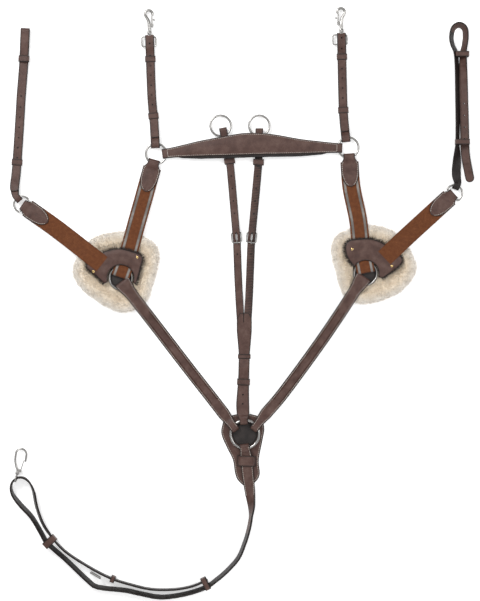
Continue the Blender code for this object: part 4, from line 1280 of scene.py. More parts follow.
def bolt_snap(side, start, direction, hand):
    """The hook on its bell, hollow round the post, and the sliding bolt that closes it."""
    z = SNAP_Z
    first, last, outer = BELL
    groove = outer - 0.7
    bell = [(first, outer - 1.2), (first + 0.5, outer - 0.3), (first + 1.2, outer), (first + 2.6, outer)]
    bell += [(first + 3.0, groove), (first + 3.6, groove), (first + 4.0, outer), (last - 3, outer)]
    bell += [(last - 1.2, outer - 0.5), (last, 3.6)]
    pieces = [lathed("bell", start, direction, z, bell)]
    bow = arc((BOW_CENTRE, 0), BOW_RADIUS, 125, -105, 16)
    path = [(last - 3, 0), (22, 0), (31, 0.5), (38.5, 2.8), *bow]
    radii = [3.8, 3.7, 3.6, 3.4] + [BOW_WIRE + 0.4] * len(bow)
    pieces.append(rod("bow", lifted(turned(path, start, direction, hand), z), radii, sides=18))
    corners = ((GUIDE[0], 0.4), (GUIDE[0], -9.4), (GUIDE[1], -9.4), (GUIDE[1], 0.4))
    pieces.append(block("guide", turned(corners, start, direction, hand), z - 3, z + 3))
    hook = cast("snap_hook_" + side + "_look", pieces)
    reach, rear, head = HEAD
    neck, room = POST_RADIUS + GAP, head + GAP
    hollow = ((first - 1, neck), (reach - GAP, neck), (reach - GAP + 0.1, room), (rear + GAP, room))
    combine(hook, lathed("hollow", start, direction, z, hollow), "DIFFERENCE")
    across = Vector((-direction.y, direction.x)) * hand
    bolt_start = start - across * BOLT_Y
    bore = ((GUIDE[0] - 1, BOLT_RADIUS + 0.3), (GUIDE[1] + 1, BOLT_RADIUS + 0.3))
    combine(hook, lathed("bore", bolt_start, direction, z, bore), "DIFFERENCE")
    creased(hook)
    settle(hook, "snap_hook_" + side, "snap_hook_" + side, slot="nickel_plate")
    stations = [(20.5, BOLT_RADIUS - 0.6), (20.8, BOLT_RADIUS - 0.2), (21.2, BOLT_RADIUS)]
    stations += [(47.0, BOLT_RADIUS), (47.4, 1.3)]
    shaft = lathed("shaft", bolt_start, direction, z, stations)
    middle = bolt_start + direction * KNOB_AT
    stations = ((0, 1.2), (3.2, 1.2), (3.8, 1.8), (4.4, 2.2), (5.4, 2.35), (6.1, 2.1), (6.6, 1.3))
    knob = lathed("knob", middle, -across, z, stations)
    bolt = cast("snap_bolt_" + side + "_look", [shaft, knob], 0.3, 3)
    settle(bolt, "snap_bolt_" + side, "snap_bolt_" + side, slot="nickel_plate")


# Elastics, their leather ends, the sheepskin pads and the shoulder rings

STRIPE_OFFSET = 13.7
STRIPE_WIDTH = 5.6
STRIPE_THICKNESS = 0.9
LOCK_SIDES = 3
LOCK_RINGS = 4
LOCKS = 9000
# Each height of the pad's outer skin and how far it lies inside the outline, from the floor to the hollow.
PAD_LEVELS = (
    (0, 9), (1.2, 4.6), (3, 1.5), (5, 0.4), (7, 0), (9.2, 1.4), (10.9, 4.0), (11.8, 7.2), (12, 10),
    (12.2, 13), (12.1, 16.2), (11.5, 19), (10.2, 21.6), (8.2, 24.2), (6.4, 26.6), (5.6, 30), (5.4, 34),
    (5.4, 40), (5.4, 48),
)

def chape(name, route, wire, z, depth, thread):
    """A pointed leather end folded round a ring, stitched all round its upper half."""
    fold = turn_at_start(wire, z, depth=depth)
    width = [(s, CHAPE_WIDTH[0][1] if s <= 0 else w) for s, w in CHAPE_WIDTH]
    width[-1] = (64.0, 2.0)
    width.insert(-1, (62.6, 10.5))
    steps = (64, 63.2, 62.6, 61, 59, 55, 50, 43, 36, 30, 24, 18, 13)
    profile = [(s, LOW) for s in steps] + [(5, LOW), *fold, (4, fold[-1][1] - 0.6)]
    profile += [(s, CHAPE_TOP) for s in steps[::-1]]
    band = route_band(route, profile, width)
    tip = band.length
    dome = [(tip - 60, 0.0), (tip - 40, 1.2), (tip - 12, 1.0), (tip - 2, 0.2)]
    made = band_mesh(name + "_look", band, crown=dome)
    thread.along_band(band, tip - 56, tip - 3.5, 3.0, lift=0.5)
    return made


def shoulder_elastic(side):
    """The elastic from the wither ring's chape to the shoulder ring, with a grip stripe along each edge."""
    route = Route(SHOULDERS[side]["elastic"])
    end = route.length
    rim = PAD_HEIGHT + 2 + GAP + ELASTIC / 2
    fold = turn_at_end(end, SHOULDER_WIRE, SHOULDER_Z, thickness=ELASTIC, depth=19.5)
    profile = [(9, ELASTIC_Z), (75, ELASTIC_Z), (end - 105, rim), (end - 52, rim), (end - 30, 10.8)]
    profile += [(end - 12, 10.8), (end - 5, fold[0][1]), *fold, (end - 30, fold[-1][1])]
    band = route_band(route, profile, ELASTIC_WIDTH, thickness=ELASTIC, longest=8)
    name = "shoulder_elastic_" + side
    settle(band_mesh(name + "_look", band, "elastic", corner=0.6), "harness", name, slot="elastic_web")
    for number, offset in enumerate((-STRIPE_OFFSET, STRIPE_OFFSET)):
        inner = [i for i, run in enumerate(band.run) if 40 < run < band.length - 45]
        ribbon = Band(
            [band.places[i] + band.acrosses[i] * offset + band.ups[i] * (ELASTIC / 2) for i in inner],
            [band.acrosses[i] for i in inner],
            [band.ups[i] for i in inner],
            [STRIPE_WIDTH] * len(inner),
            [STRIPE_THICKNESS] * len(inner),
        )
        stripe = band_mesh(f"grip_stripe_{side}_{number + 1}", ribbon, "stripe", corner=0.3)
        settle(stripe, "harness", slot="elastic_web")
    return route


def girth_elastic(side):
    """The elastic from the shoulder to the D ring, over the arch and the pad."""
    route = Route(SHOULDERS[side]["girth"])
    end = route.length
    rim = PAD_HEIGHT + 2 + GAP + ELASTIC / 2
    over = PATCH_Z + LEATHER + GAP + ELASTIC / 2
    profile = [(0, over), (40, over), (68, rim), (100, 8), (end - 75, ELASTIC_Z), (end - 9, ELASTIC_Z)]
    band = route_band(route, profile, ELASTIC_WIDTH, thickness=ELASTIC, longest=8)
    name = "girth_elastic_" + side
    settle(band_mesh(name + "_look", band, "elastic", corner=0.6), "harness", name, slot="elastic_web")
    return route


def shoulder_patch(side):
    """The leather arch round the shoulder ring, and a near-black disc under the ring, painted shade in the
    ring's middle.
    """
    data = SHOULDERS[side]
    first, last = data["arch"]
    hole = arc(data["ring"], PATCH_HOLE, last, first, 33)
    edge = smooth_path(data["patch"], 5)
    outline = [*(tuple(p) for p in edge), *hole]
    name = "shoulder_patch_" + side
    made = plate(name + "_look", outline, PATCH_Z, LEATHER, 2.2)
    settle(made, "harness", name, slot="bridle_leather")
    # A near-black disc under the ring: painted shade in the ring's middle.
    shade_disc = [tuple(p) for p in arc(data["ring"], 28.0, 0, 354, 60)]
    made = plate(f"ring_shade_disc_{side}", shade_disc, 5.0, 1.3, 0.0, "leather_dark", rim=0.4)
    settle(made, "harness", slot="lining_leather")
    return outline, edge


def inset_line(points, centre, inset):
    """A line beside a path, on the side of the given centre."""
    line = []
    for i, point in enumerate(points):
        before, after = points[max(i - 1, 0)], points[min(i + 1, len(points) - 1)]
        tangent = (after - before).normalized()
        side = Vector((-tangent.y, tangent.x))
        if side.dot(centre - point) < 0:
            side = -side
        line.append(point + side * inset)
    return line


class Tufts:
    """Gathers locks of wool, each a curled cone, and makes one mesh of them."""

    def __init__(self):
        self.points = []
        self.tips = []
        self.faces = []

    def lock(self, root, way, curl, length, radius, warm=0.0):
        """One lock from its root, bending towards its curl."""
        base = len(self.points)
        side = way.cross(curl).normalized() if way.cross(curl).length > 1e-6 else way.orthogonal()
        centre = root.copy()
        heading = way.normalized()
        step = length / LOCK_RINGS
        for ring in range(LOCK_RINGS + 1):
            share = ring / LOCK_RINGS
            normal = heading.cross(side).normalized()
            size = radius * (1 - 0.82 * share**1.5)
            for k in range(LOCK_SIDES):
                a = 2 * math.pi * k / LOCK_SIDES + share * 1.8
                spot = centre + (side * math.cos(a) + normal * math.sin(a)) * size
                self.points.append(metres(spot))
                # The share from root to tip becomes painted shade at the lock's root and painted light at
                # its tip in the fleece material.
                self.tips.append((share, warm, NO_EDGE))
            heading = (heading + curl * (0.34 + 0.3 * share)).normalized()
            centre = centre + heading * step
        for ring in range(LOCK_RINGS):
            row = base + ring * LOCK_SIDES
            for k in range(LOCK_SIDES):
                a, b = row + k, row + (k + 1) % LOCK_SIDES
                self.faces.append((a, b, b + LOCK_SIDES, a + LOCK_SIDES))
        self.faces.append(tuple(base + k for k in range(LOCK_SIDES - 1, -1, -1)))
        self.faces.append(tuple(base + LOCK_RINGS * LOCK_SIDES + k for k in range(LOCK_SIDES)))

    def made(self, name, finish, body):
        points = [tuple(p) for p in self.points]
        return settle(faced(name, points, self.faces, self.tips, finish, SOFT_ANGLE), body)


def inside(point, outline):
    """Whether a point lies inside a closed outline."""
    found = False
    for (x0, y0), (x1, y1) in zip(outline, [*outline[1:], outline[0]]):
        if (y0 > point[1]) != (y1 > point[1]):
            if point[0] < (x1 - x0) * (point[1] - y0) / (y1 - y0) + x0:
                found = not found
    return found


def under_strap(point, route, half):
    """Whether a point lies under a strap that follows a route."""
    nearest = min(route.points, key=lambda p: (p - point).length_squared)
    return (nearest - point).length < half


def sheepskin_pad(side, patch, covers, random):
    """The fleece: a thick rim round a hollow, with a lumpy skin and thousands of locks of wool."""
    data = SHOULDERS[side]
    path = closed_path(data["pad"], 14)
    middle = sum(path, Vector((0, 0))) / len(path)
    rows = []
    for z, inset in PAD_LEVELS:
        row = []
        for p in path:
            away = p - middle
            length = away.length
            q = middle + away * max(1 - inset / length, 0.03)
            row.append(Vector((q.x, q.y, z)))
        rows.append(row)
    count = len(path)
    for i, row in enumerate(rows[1:], 1):
        for p in row:
            seed = Vector((p.x, p.y, p.z * 1.4)) / 7.5
            lump = noise.noise(seed) * 1.2 + noise.noise(seed * 2.3) * 0.6
            out = (p.to_2d() - middle).normalized()
            share = 1.0 if i < 14 else 0.35
            sideways = 1.0 if i < 8 else 0.3
            p.z += lump * share * 0.8
            p.x += out.x * lump * share * sideways
            p.y += out.y * lump * share * sideways
            p.z = max(p.z, 0.0)
    name = "sheepskin_pad_" + side
    warmth = [min(max((inset - 3) / 18, 0.0), 1.0) for _, inset in PAD_LEVELS]
    # The skin takes a fixed low share along the locks: painted shade beneath them.
    facts = [[(0.25, warm, NO_EDGE)] * count for warm in warmth]
    body = skin(name + "_look", rows, facts, "fleece")
    settle(body, "harness", name, slot="fleece")
    tufts = Tufts()
    areas = []
    for i in range(1, len(rows) - 1):
        for k in range(count):
            a, b, c = rows[i][k], rows[i][(k + 1) % count], rows[i + 1][k]
            areas.append(((b - a).cross(c - a).length, i, k))
    total = sum(area for area, _, _ in areas)
    wanted = LOCKS
    for area, i, k in areas:
        share = area / total * wanted
        number = int(share) + (random.random() < share - int(share))
        for _ in range(number):
            u, v = random.random(), random.random()
            n = (k + 1) % count
            low = rows[i][k].lerp(rows[i][n], u)
            high = rows[i + 1][k].lerp(rows[i + 1][n], u)
            root = low.lerp(high, v)
            corner = rows[i][k]
            normal = (rows[i][n] - corner).cross(rows[i + 1][k] - corner).normalized()
            out = (root.to_2d() - middle).normalized()
            if normal.dot(Vector((out.x, out.y, 1.0))) < 0:
                normal = -normal
            flat = root.to_2d()
            if inside(flat, patch) or any(under_strap(flat, r, h) for r, h in covers):
                continue
            if (flat - Vector(data["ring"])).length < 31:
                continue
            swirl = noise.noise(Vector((root.x, root.y, 3.0)) / 11.0) * 3.4
            lean = Vector((math.cos(swirl), math.sin(swirl), 0)) * 0.55 + Vector((out.x, out.y, 0)) * 0.5
            way = normal + lean * random.uniform(0.5, 1.1)
            curl = Vector((random.uniform(-1, 1), random.uniform(-1, 1), random.uniform(-0.9, 0.1)))
            length, radius = random.uniform(4.5, 8.2), random.uniform(0.38, 0.62)
            tufts.lock(root - normal * 0.8, way, curl, length, radius, warmth[i])
    locks = tufts.made(f"wool_locks_{side}", "fleece", "harness")


def shade_fringe(side, edge, random):
    """Short near-black strands that stick out from under the patch's edge: painted shade where the patch
    overhangs the fleece.
    """
    tufts = Tufts()
    centre = sum((Vector(p) for p in edge), Vector((0, 0))) / len(edge)
    for a, b in zip(edge, edge[1:]):
        tangent = (b - a).normalized()
        out = Vector((-tangent.y, tangent.x))
        if out.dot(a - centre) < 0:
            out = -out
        for _ in range(max(2, int((b - a).length * 3.2))):
            spot = a.lerp(b, random.random()) - out * 1.5
            way = Vector((out.x, out.y, random.uniform(-0.25, 0.12)))
            way += Vector((tangent.x, tangent.y, 0)) * random.uniform(-0.5, 0.5)
            curl = Vector((random.uniform(-1, 1), random.uniform(-1, 1), -0.5)) * 0.5
            root = Vector((spot.x, spot.y, PATCH_Z - 0.8 + random.uniform(-1.0, 0.3)))
            tufts.lock(root, way, curl, random.uniform(4.0, 10.0), random.uniform(0.3, 0.55))
    fringe = tufts.made(f"patch_shade_fringe_{side}", "shade_wool", "harness")


# Girth rings and girth straps


def girth_ring(side):
    """The D ring. It returns where its straight bar is and which way it faces."""
    route = Route(SHOULDERS[side]["girth"])
    start, direction = route.at(route.length)
    bow = arc((GIRTH_SIDE, 0), GIRTH_BOW, 90, -90, 13)
    path = [(0, -GIRTH_BOW + 3), (0, -6), (0, 6), (0, GIRTH_BOW - 3), (1.2, GIRTH_BOW - 0.6), *bow]
    path.append((1.2, -GIRTH_BOW + 0.6))
    name = "girth_ring_" + side
    path = lifted(turned(path, start, direction), GIRTH_Z)
    made = rod(name + "_look", path, GIRTH_WIRE, closed=True, sides=18)
    settle(made, name, name, slot="nickel_plate")
    return start, direction


def girth_strap_left(start, direction):
    """The left girth strap, flat and folded back over itself."""
    wire, beyond = bow_points(start, direction, BOW_ANGLES["left"])
    route = Route((wire, beyond, *LEFT_STRAP))
    end = route.length
    fold = turn_at_start(GIRTH_WIRE, GIRTH_Z, depth=5.0, lift=GIRTH_LIFT, downwards=True)
    profile = [(46, UPPER), (24, UPPER), (13, 9.6), (3, fold[0][1]), *fold, (8, LOW), (end - 60, LOW)]
    profile += [(end - 6, LOW), *turn_at_end(end, 2.4, LOW + LEATHER / 2 + GAP + 2.4, upwards=True)]
    profile += [(end - 30, 9.6), (end - 62, UPPER), (70, UPPER), (50, THIRD), (30, 10.2), (16, 13.0)]
    band = route_band(route, profile, GIRTH_WIDTH, turned_over=True, tips=(0.0, 4.0))
    made = band_mesh("girth_strap_left_look", band)
    punched(made, route, LEFT_HOLES, [(30, 10.2), (50, THIRD), (70, UPPER), (end - 62, UPPER)])
    name = "girth_strap_left"
    settle(made, name, name, slot="bridle_leather")
    under, inner = REST - 0.3, STRAP_WIDTH + 1.0
    lower = "girth_keeper_left"
    keeper(lower, route, LEFT_KEEPER, under, UPPER + 1.5, inner, lower)
    top = min(range(int(end)), key=lambda s: abs(route.at(s)[0].y - LEFT_TOP_KEEPER_Y))
    keeper("girth_keeper_top_left", route, top, under, 12.6, inner, name, carried=False)


def girth_strap_right(start, direction):
    """The right girth strap, a long loop that stands on edge and leans."""
    wire, beyond = bow_points(start, direction, BOW_ANGLES["right"])
    route = Route((wire, beyond, *RIGHT_LOOP))
    end = route.length
    fold = turn_at_start(GIRTH_WIRE, GIRTH_Z, depth=5.0, lift=GIRTH_LIFT, downwards=True)
    stand = REST + STRAP_WIDTH / 2 + 0.6
    profile = [(30, 6.8), (14, 9.4), (3, fold[0][1]), *fold, (8, LOW), (34, LOW + 0.4)]
    profile += [(78, stand), (440, stand), (500, 7.0), (end - 75, 6.6), (end - 30, 6.4), (end, 6.2)]
    roll = [(36, 0), (88, 62), (420, 58), (500, 14), (end - 85, 14), (end, 22)]
    band = route_band(route, profile, GIRTH_WIDTH, roll=roll, tips=(0.0, 9.0))
    # Where the strap stands on edge and leans, it is painted in the dark edge colour: painted shade on its
    # side face.
    made = band_mesh("girth_strap_right_look", band, dark=(64.0, 400.0))
    punched(made, route, (end - 96, end - 122, end - 148, end - 174), [(0, 7.0), (end, 6.4)])
    settle(made, "girth_strap_right", "girth_strap_right", slot="bridle_leather")
    loops = ((484.0, 545, 27.0, 22.4), (484.5, 352, 29.0, 23.4))
    for number, (x, y, inner, high) in enumerate(loops):
        loop = Route(((x, y - 1), (x, y + 1)))
        name = f"girth_loop_right_{number + 1}"
        keeper(name, loop, 1, 1.2, high, inner, "girth_strap_right", length=12, carried=False)


# Wither strap


def wither_strap(thread):
    """The wide strap over the withers and the soft dark lining under it."""
    route = Route(WITHER_ROUTE)
    end = route.length
    first = turn_at_start(WITHER_WIRE, RING_Z, depth=4.4)
    last = turn_at_end(end, WITHER_WIRE, RING_Z, depth=4.4)
    rise = [(110, WITHER_CROWN), (end - 130, WITHER_CROWN)]
    profile = [(48, LOW), (6, LOW), *first, (8, first[-1][1] - 0.2), (28, 12.6), *rise]
    profile += [(end - 28, 12.6), (end - 8, last[0][1] - 0.2), *last, (end - 6, LOW), (end - 48, LOW)]
    band = route_band(route, profile, WITHER_WIDTH)
    rising = [(70, 0.0), (110, 1.0), (180, 1.6)]
    swell = rising + [(band.length - s, h) for s, h in rising[::-1]]
    made = band_mesh("wither_strap_look", band, crown=swell)
    settle(made, "harness", "wither_strap", slot="bridle_leather")
    low, high = 72.0, band.length - 72.0
    thread.along_band(band, low, high, 3.0, lift=0.25)
    for run in (low, high):
        thread.across_band(band, run, 3.0, lift=0.2)
    down = LEATHER / 2 + 0.3 + LINING / 2
    inner = [(24, 11.9 - down), *((s, z - down) for s, z in rise), (end - 24, 11.9 - down)]
    middle = [(s, w + 5) for s, w in WITHER_WIDTH[2:-2]]
    width = [(24, 18.0), (34, 25.0), *middle, (end - 34, 25.0), (end - 24, 18.0)]
    lower = Route([(x, y - 3.0) for x, y in WITHER_ROUTE])
    lining = route_band(lower, inner, width, thickness=LINING)
    made = band_mesh("wither_lining_look", lining, "leather_dark", corner=1.8)
    settle(made, "harness", "wither_lining", slot="lining_leather")


# Chest straps, centre ring and chest guard


def chest_strap(side, thread):
    """The raised strap from a shoulder ring to the centre ring."""
    route = Route(CHEST_ROUTES[side])
    end = route.length
    first = turn_at_start(SHOULDER_WIRE, SHOULDER_Z, depth=13.0)
    last = turn_at_end(end, CENTRE_WIRE, CENTRE_Z, depth=6.5)
    flat = 1.0 + CHEST_THICKNESS / 2
    profile = [(8, first[0][1]), (4, first[0][1]), *first, (6, first[-1][1]), (18, 14.6), (56, 14.6)]
    profile += [(115, flat), (end - 100, flat), (end - 62, 8.6), (end - 18, 9.8), (end - 7, last[0][1])]
    profile += [*last, (end - 8, last[-1][1]), (end - 40, last[-1][1])]
    thick, wide = CHEST_THICKNESS, CHEST_WIDTH
    thickness = [(60, LEATHER), (112, thick), (end - 98, thick), (end - 60, LEATHER)]
    width = [(-12, 36.0), (-2, 34.0), (10, 29.0), (22, wide), (end - 34, wide), (end - 8, 19.0)]
    band = route_band(route, profile, width, thickness=thickness)
    name = "chest_strap_" + side
    made = band_mesh(name + "_look", band, ridge=(6.2, 2.2))
    settle(made, "harness", name, slot="bridle_leather")
    thread.along_band(band, 28, band.length - 62, 3.0, lift=-0.1)
    return route


def chest_guard(thread):
    """The pear-shaped guard behind the centre ring, its stitching and the band across it."""
    outline = closed_path(GUARD_OUTLINE, 8)
    made = plate("chest_guard_look", [tuple(p) for p in outline], 0.0, GUARD_THICKNESS, 0.0)
    settle(made, "harness", "chest_guard", slot="bridle_leather")
    middle = sum(outline, Vector((0, 0))) / len(outline)
    # A near-black disc over the guard inside the centre ring: painted shade in the ring's hollow.
    hollow = [tuple(p) for p in arc(CENTRE, 27.0, 0, 354, 60)]
    shade_disc = plate("centre_shade_disc", hollow, GUARD_THICKNESS, 0.35, 0.0, "leather_dark", rim=0.2)
    settle(shade_disc, "harness", slot="lining_leather")
    line = inset_line([*outline, outline[0]], middle, 3.2)
    line = [*line[:-1], line[0]]
    thread.row([(Vector((p.x, p.y, GUARD_THICKNESS + 0.1)), UP) for p in line])
    ends = GUARD_THICKNESS + GAP + LEATHER / 2
    over = 11.2
    route = Route(((-14, -349), (10, -350), (34, -351)), 2)
    profile = [(3.5, ends), (6.5, ends), (8, 7.2), (9.4, 10.2), (12, over)]
    profile += [(48 - s, z) for s, z in profile[::-1]]
    band = route_band(route, profile, 23, longest=5)
    settle(band_mesh("guard_band_look", band), "harness", "guard_band", slot="bridle_leather")


# Martingale fork, rein straps and rein rings


def rein_strap(side):
    """The short strap that holds a rein ring and buckles to the fork's arm."""
    data = ARMS[side]
    route = Route(data["strap"])
    end = route.length
    fold = turn_at_start(REIN_WIRE, REIN_Z, depth=12.0, lift=REIN_LIFT, downwards=True)
    profile = [(30, UPPER), (18, UPPER), (6, fold[0][1] - 1.2), *fold, (6, LOW), (end - 6, LOW)]
    profile += turn_at_end(end, BUCKLE_WIRE, BUCKLE_Z, upwards=True)
    profile += [(end - 6, BUCKLE_Z + 2.4), (end - 12, UPPER), (end - 26, UPPER)]
    name = "rein_strap_" + side
    made = band_mesh(name + "_look", route_band(route, profile, ARM_WIDTH, turned_over=True))
    start, direction = route.at(end)
    corners = turned(((-6, -1.8), (6, -1.8), (6, 1.8), (-6, 1.8)), start, direction)
    cut_holes(made, [(corners, LOW + LEATHER / 2 + 0.3, 14)])
    settle(made, "harness", name, slot="bridle_leather")
    half = ARM_WIDTH / 2 + 2.0
    path = turned(rounded_box_path(0, BUCKLE_LENGTH, -half, half, 3.5), start, direction)
    name, path = "rein_buckle_" + side, lifted(path, BUCKLE_Z)
    buckle = rod(name + "_look", path, BUCKLE_WIRE, closed=True, sides=16, steps=3)
    settle(buckle, "harness", name, slot="nickel_plate")
    reach = BUCKLE_WIRE + 0.3 + TONGUE_WIRE
    hook = arc((0, 0), reach, 180, 90, 6)
    path = [*hook, (10, reach + 0.4), (BUCKLE_LENGTH - 1, reach + 0.1), (BUCKLE_LENGTH + 3, reach - 0.4)]
    spots = upright([(x, BUCKLE_Z + y) for x, y in path], start, direction)
    name = "rein_tongue_" + side
    tongue = rod(name + "_look", spots, [TONGUE_WIRE] * 8 + [0.9], sides=12, steps=3)
    settle(tongue, name, name, slot="nickel_plate")
    name = "rein_ring_" + side
    ring = wheel(name + "_look", data["ring"], REIN_Z, REIN_RADIUS, REIN_WIRE)
    settle(ring, name, name, slot="nickel_plate")
    name = "rein_keeper_" + side
    keeper(name, route, REIN_KEEPER, REST - 0.3, UPPER + 1.5, ARM_WIDTH + 4.5, name)


def martingale_fork():
    """The two arms and the tail, joined and cut with slots, holes and a slit, and the tail's keepers."""
    pieces = []
    routes = []
    for side in ("left", "right"):
        route = Route(ARMS[side]["arm"])
        end = route.length
        profile = [(0, UPPER), (118, UPPER), (134, THIRD + 0.2), (148, THIRD + 0.2), (155, 12.2)]
        profile += [(170, 12.2), (177, 8.4), (184, 3.7), (187, LOW), (end, LOW)]
        pieces.append(band_mesh("arm_" + side, route_band(route, profile, ARM_WIDTH, tips=(6.0, 0.0))))
        routes.append((route, profile))
    route = Route(TAIL_ROUTE)
    end = route.length
    turn = turn_at_end(end, CENTRE_WIRE, CENTRE_Z, depth=4.5)
    profile = [(0, LOW), (100, LOW), (122, UPPER), (end - 50, UPPER), (end - 32, 8.2), (end - 12, 9.6)]
    profile += [(end - 7, turn[0][1]), *turn, (end - 20, turn[-1][1]), (end - 32, LOW), (end - 108, LOW)]
    fork = band_mesh("tail", route_band(route, profile, TAIL_WIDTH, thickness=LEATHER + 0.12))
    for piece in pieces:
        combine(fork, piece, "UNION")
    fork.name = "martingale_fork_look"
    for arm, face in routes:
        punched(fork, arm, ARM_HOLES, face)
        place, direction = arm.at(175)
        slot = circle(place, 1.9, 20, Vector((direction.x, direction.y)) * 6.6)
        cut_holes(fork, [(slot, -2, CUT_TOP)])
    punched(fork, route, (end - 56, end - 36), [(end - 56, UPPER), (end - 50, UPPER), (end - 36, 7.7)])
    slit = [(2.9, -18), (4.3, -18), (4.5, -45), (3.3, -45)]
    cut_holes(fork, [(slit, REST + 0.3, 12.0)])
    fork.data.set_sharp_from_angle(angle=math.radians(40))
    settle(fork, "harness", "martingale_fork", slot="bridle_leather")
    under = REST - 0.4
    keeper("fork_keeper_upper", route, 96, under, LOW + 1.7, 25.5, "harness", length=10)
    name = "fork_keeper_lower"
    keeper(name, route, 152, under, UPPER + 2.6, 25.8, name, length=14)


# Belly strap and its spring snap


def belly_strap(thread):
    """The long strap to the girth, which lies on its edge beyond the guard."""
    route = Route(BELLY_ROUTE, 3)
    end = route.length
    eye = min(range(300, int(end)), key=lambda s: (route.at(s)[0] - Vector(EYE_POINT)).length)
    fold = turn_at_start(CENTRE_WIRE, CENTRE_Z, depth=4.2)
    profile = [(42, fold[0][1]), (6, fold[0][1]), *fold, (5, 13.2), (10, 9.6), (14, 7.6), (46, 7.6)]
    profile += [(86, 6.8), (110, 9.0), (130, 11.2), (150, BELLY_Z), (eye - 60, BELLY_Z)]
    profile += [(eye - 16, EYE_Z), (eye + 16, EYE_Z), (eye + 60, BELLY_Z), (end, BELLY_Z)]
    thickness = [(50, LEATHER), (90, BELLY_THICKNESS)]
    lean = BELLY_LEAN
    roll = [(84, 0), (150, lean), (eye - 60, lean), (eye - 20, 90), (eye + 20, 90), (eye + 60, lean)]
    roll += [(eye + 150, lean), (eye + 190, 90)]
    width = [(0, 22.0), (16, 26.0), (60, 26.0), (110, 22.0), (150, BELLY_WIDTH)]
    band = route_band(route, profile, width, thickness=thickness, roll=roll)
    # Beyond the guard, where the strap leans on its edge, it is painted in the dark edge colour: painted
    # shade on its side face.
    made = band_mesh("belly_strap_look", band, corner=0.9, dark=(250.0, 5000.0))
    settle(made, "harness", "belly_strap", slot="bridle_leather")
    thread.along_band(band, 62, 170, 2.6, lift=0.05)


def belly_fittings():
    """The belly strap's three loops and its buckle."""
    loops = (
        ("belly_keeper_end", (-422.5, -526.5), -47, 28, 16),
        ("belly_keeper_middle", (-80, -619), 27, 26, 12),
        ("belly_keeper_buckle", (-284, -609), -21, 12, 10),
    )
    for name, centre, heading, inner, length in loops:
        direction = Vector((math.cos(math.radians(heading)), math.sin(math.radians(heading))))
        route = Route((Vector(centre) - direction, Vector(centre) + direction))
        keeper(name, route, 1, KEEPER_WALL + 0.2, 23.6, inner, "harness", length=length)
    start, direction = Vector((-322, -600.5)), Vector((0.86, -0.51)).normalized()
    spots = upright(rounded_box_path(-12, 12, 2.0, 24.5, 3), start, direction)
    buckle = rod("belly_buckle_look", spots, 1.4, closed=True, sides=16, steps=3)
    settle(buckle, "harness", "belly_buckle", slot="nickel_plate")


def belly_snap():
    """The spring snap at the strap's loop: an upright eye with a post, the hook and its gate."""
    start = Vector(EYE_POINT)
    direction = Vector((0.156, 0.988)).normalized()
    z = BELLY_SNAP_Z
    low, high, half = EYE_WIRE + 0.2, 28.6, 5.9
    spots = upright(rounded_box_path(-half, half, low, high, 3), start, direction)
    eye = rod("eye", spots, EYE_WIRE, closed=True, sides=16, steps=3)
    post = lathed("post", start, direction, z, ((half - 0.5, 1.8), (11.4, 1.8), (11.6, 2.6), (14.6, 2.6)))
    made = cast("belly_snap_eye_look", [eye, post], 0.34, 3)
    settle(made, "belly_snap_eye", "belly_snap_eye", slot="nickel_plate")
    bell = ((8.3, 3.6), (8.7, 4.1), (9.2, 4.4), (11, 4.2), (13.6, 4.4), (17, 3.0))
    pieces = [lathed("bell", start, direction, z, bell)]
    path = [(15.4, 0), (20, 1.6), (28, 5.8), (38, 8.8), (46, 9.6), *arc((54, -2), 11.7, 100, -85, 15)]
    path += [(46, -13.8), (39.5, -13.6)]
    pieces.append(rod("bow", lifted(turned(path, start, direction), z), 2.3, sides=16))
    for first, last in ((-3.6, -2.3), (2.3, 3.6)):
        corners = ((14.5, 2.0), (14.5, -8.2), (20.5, -8.2), (20.5, 2.4))
        pieces.append(block("lug", turned(corners, start, direction), z + first, z + last))
    hook = cast("belly_hook_look", pieces, 0.4, 3)
    pin_at = turned(((17.6, -6.0),), start, direction)[0]
    pin = block("pin", disc(pin_at, 0.9), z - 3.9, z + 3.9)
    combine(hook, pin, "UNION")
    hollow = ((7.8, 2.2), (11.2, 2.2), (11.3, 3.0), (15.0, 3.0))
    combine(hook, lathed("hollow", start, direction, z, hollow), "DIFFERENCE")
    creased(hook)
    settle(hook, "belly_hook", "belly_hook", slot="nickel_plate")
    hub = block("hub", disc(pin_at, 2.0), z - 1.9, z + 1.9)
    path = turned(((18.6, -6.4), (30, -8.4), (41, -9.9)), start, direction)
    bar = rod("bar", lifted(path, z), 1.1)
    gate = cast("belly_gate_look", [hub, bar], 0.28, 2)
    bore = block("bore", disc(pin_at, 1.25), z - 3, z + 3)
    combine(gate, bore, "DIFFERENCE")
    creased(gate)
    settle(gate, "belly_gate", "belly_gate", slot="nickel_plate")


# The whole breastplate


RIVETS = ((-230, 98), (-326, 67), (329, 79), (242, 116))
RIVET_RADIUS = 3.1


def o_ring(name, centre, z, radius, wire):
    """A ring that the harness carries."""
    ring = wheel(name + "_look", centre, z, radius, wire)
    settle(ring, "harness", name, slot="nickel_plate")


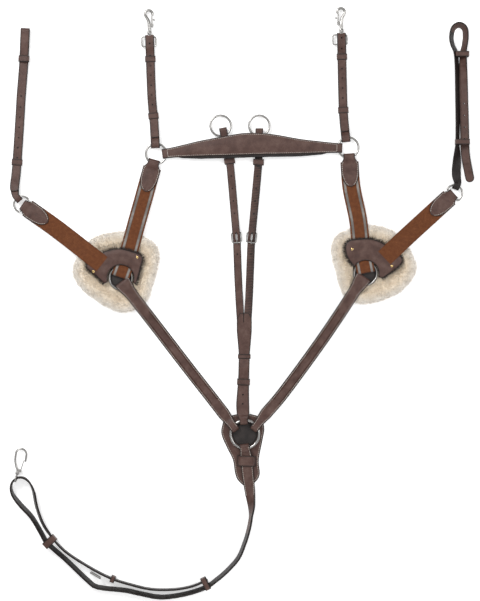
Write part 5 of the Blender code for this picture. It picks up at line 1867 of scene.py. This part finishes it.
def build():
    """Every piece, in one fixed order, so that the wool falls the same way each time."""
    random = Random(20)
    thread = Thread()
    wither_strap(thread)
    for side in ("left", "right"):
        data = SHOULDERS[side]
        o_ring("wither_ring_" + side, data["wither_ring"], RING_Z, WITHER_RADIUS, WITHER_WIRE)
        o_ring("shoulder_ring_" + side, data["ring"], SHOULDER_Z, SHOULDER_RADIUS, SHOULDER_WIRE)
        snap_strap(side)
        shoulder = shoulder_elastic(side)
        girth = girth_elastic(side)
        made = chape("shoulder_chape_" + side, Route(data["elastic"]), WITHER_WIRE, RING_Z, 4.6, thread)
        settle(made, "harness", "shoulder_chape_" + side, slot="bridle_leather")
        back = Route(data["girth"][::-1])
        made = chape("girth_chape_" + side, back, GIRTH_WIRE, GIRTH_Z, 0.0, thread)
        settle(made, "harness", "girth_chape_" + side, slot="bridle_leather")
        outline, edge = shoulder_patch(side)
        chest = chest_strap(side, thread)
        covers = ((shoulder, 19.0), (girth, 19.0), (chest, 12.0))
        sheepskin_pad(side, outline, covers, random)
        # Near-black strands round the patch: painted shade on the fleece at its edge.
        shade_fringe(side, edge, random)
        start, direction = girth_ring(side)
        if side == "left":
            girth_strap_left(start, direction)
        else:
            girth_strap_right(start, direction)
        rein_strap(side)
    o_ring("centre_ring", CENTRE, CENTRE_Z, CENTRE_RADIUS, CENTRE_WIRE)
    chest_guard(thread)
    martingale_fork()
    belly_strap(thread)
    belly_fittings()
    belly_snap()
    for number, place in enumerate(RIVETS):
        height = PATCH_Z + LEATHER + 1.6
        rivet(f"patch_rivet_{number + 1}", place, height, RIVET_RADIUS, "harness")
    thread.made("saddle_stitching", "harness")


def studio():
    """A pale floor, a soft bright room and the camera straight above."""
    mesh = bpy.data.meshes.new("studio_floor")
    size, level = 6.0, -0.0005
    corners = [(x * size, y * size, level) for x, y in ((-1, -1), (1, -1), (1, 1), (-1, 1))]
    mesh.from_pydata(corners, [], [(0, 1, 2, 3)])
    mesh.materials.append(MATERIALS["floor"])
    floor = linked("studio_floor", mesh)
    world = bpy.data.worlds.new("studio")
    bpy.context.scene.world = world
    world.use_nodes = True
    tree = world.node_tree
    background = tree.nodes["Background"]
    way = add(tree, "TexCoord").outputs["Generated"]
    height = add(tree, "SeparateXYZ", {"Vector": way}).outputs["Z"]
    stops = ((0.0, (0.06, 0.06, 0.065)), (0.5, (0.16, 0.16, 0.17)), (0.86, (1.0, 1.0, 1.0)))
    tree.links.new(ramp(tree, height, stops), background.inputs["Color"])
    background.inputs["Strength"].default_value = 0.75
    for name, place, size, power in (
        ("key", (-1.5, 1.7, 2.4), 1.0, 62.0),
        ("fill", (2.2, 0.6, 2.2), 1.2, 26.0),
        ("low", (0.3, -2.3, 1.8), 1.2, 20.0),
    ):
        light = bpy.data.lights.new(name, "AREA")
        light.energy = power
        light.size = size
        lamp = linked(name, light)
        lamp.location = place
        lamp.rotation_euler = Vector(place).to_track_quat("Z", "Y").to_euler()
    lens = bpy.data.cameras.new("above")
    lens.lens = 135.0
    lens.sensor_fit = "VERTICAL"
    lens.sensor_height = 36.0
    lens.clip_end = 50.0
    camera = linked("above", lens)
    camera.location = (-0.00566, 0.00495, 4.968)
    bpy.context.scene.camera = camera
    bpy.context.scene.view_settings.view_transform = "Standard"


build()
studio()
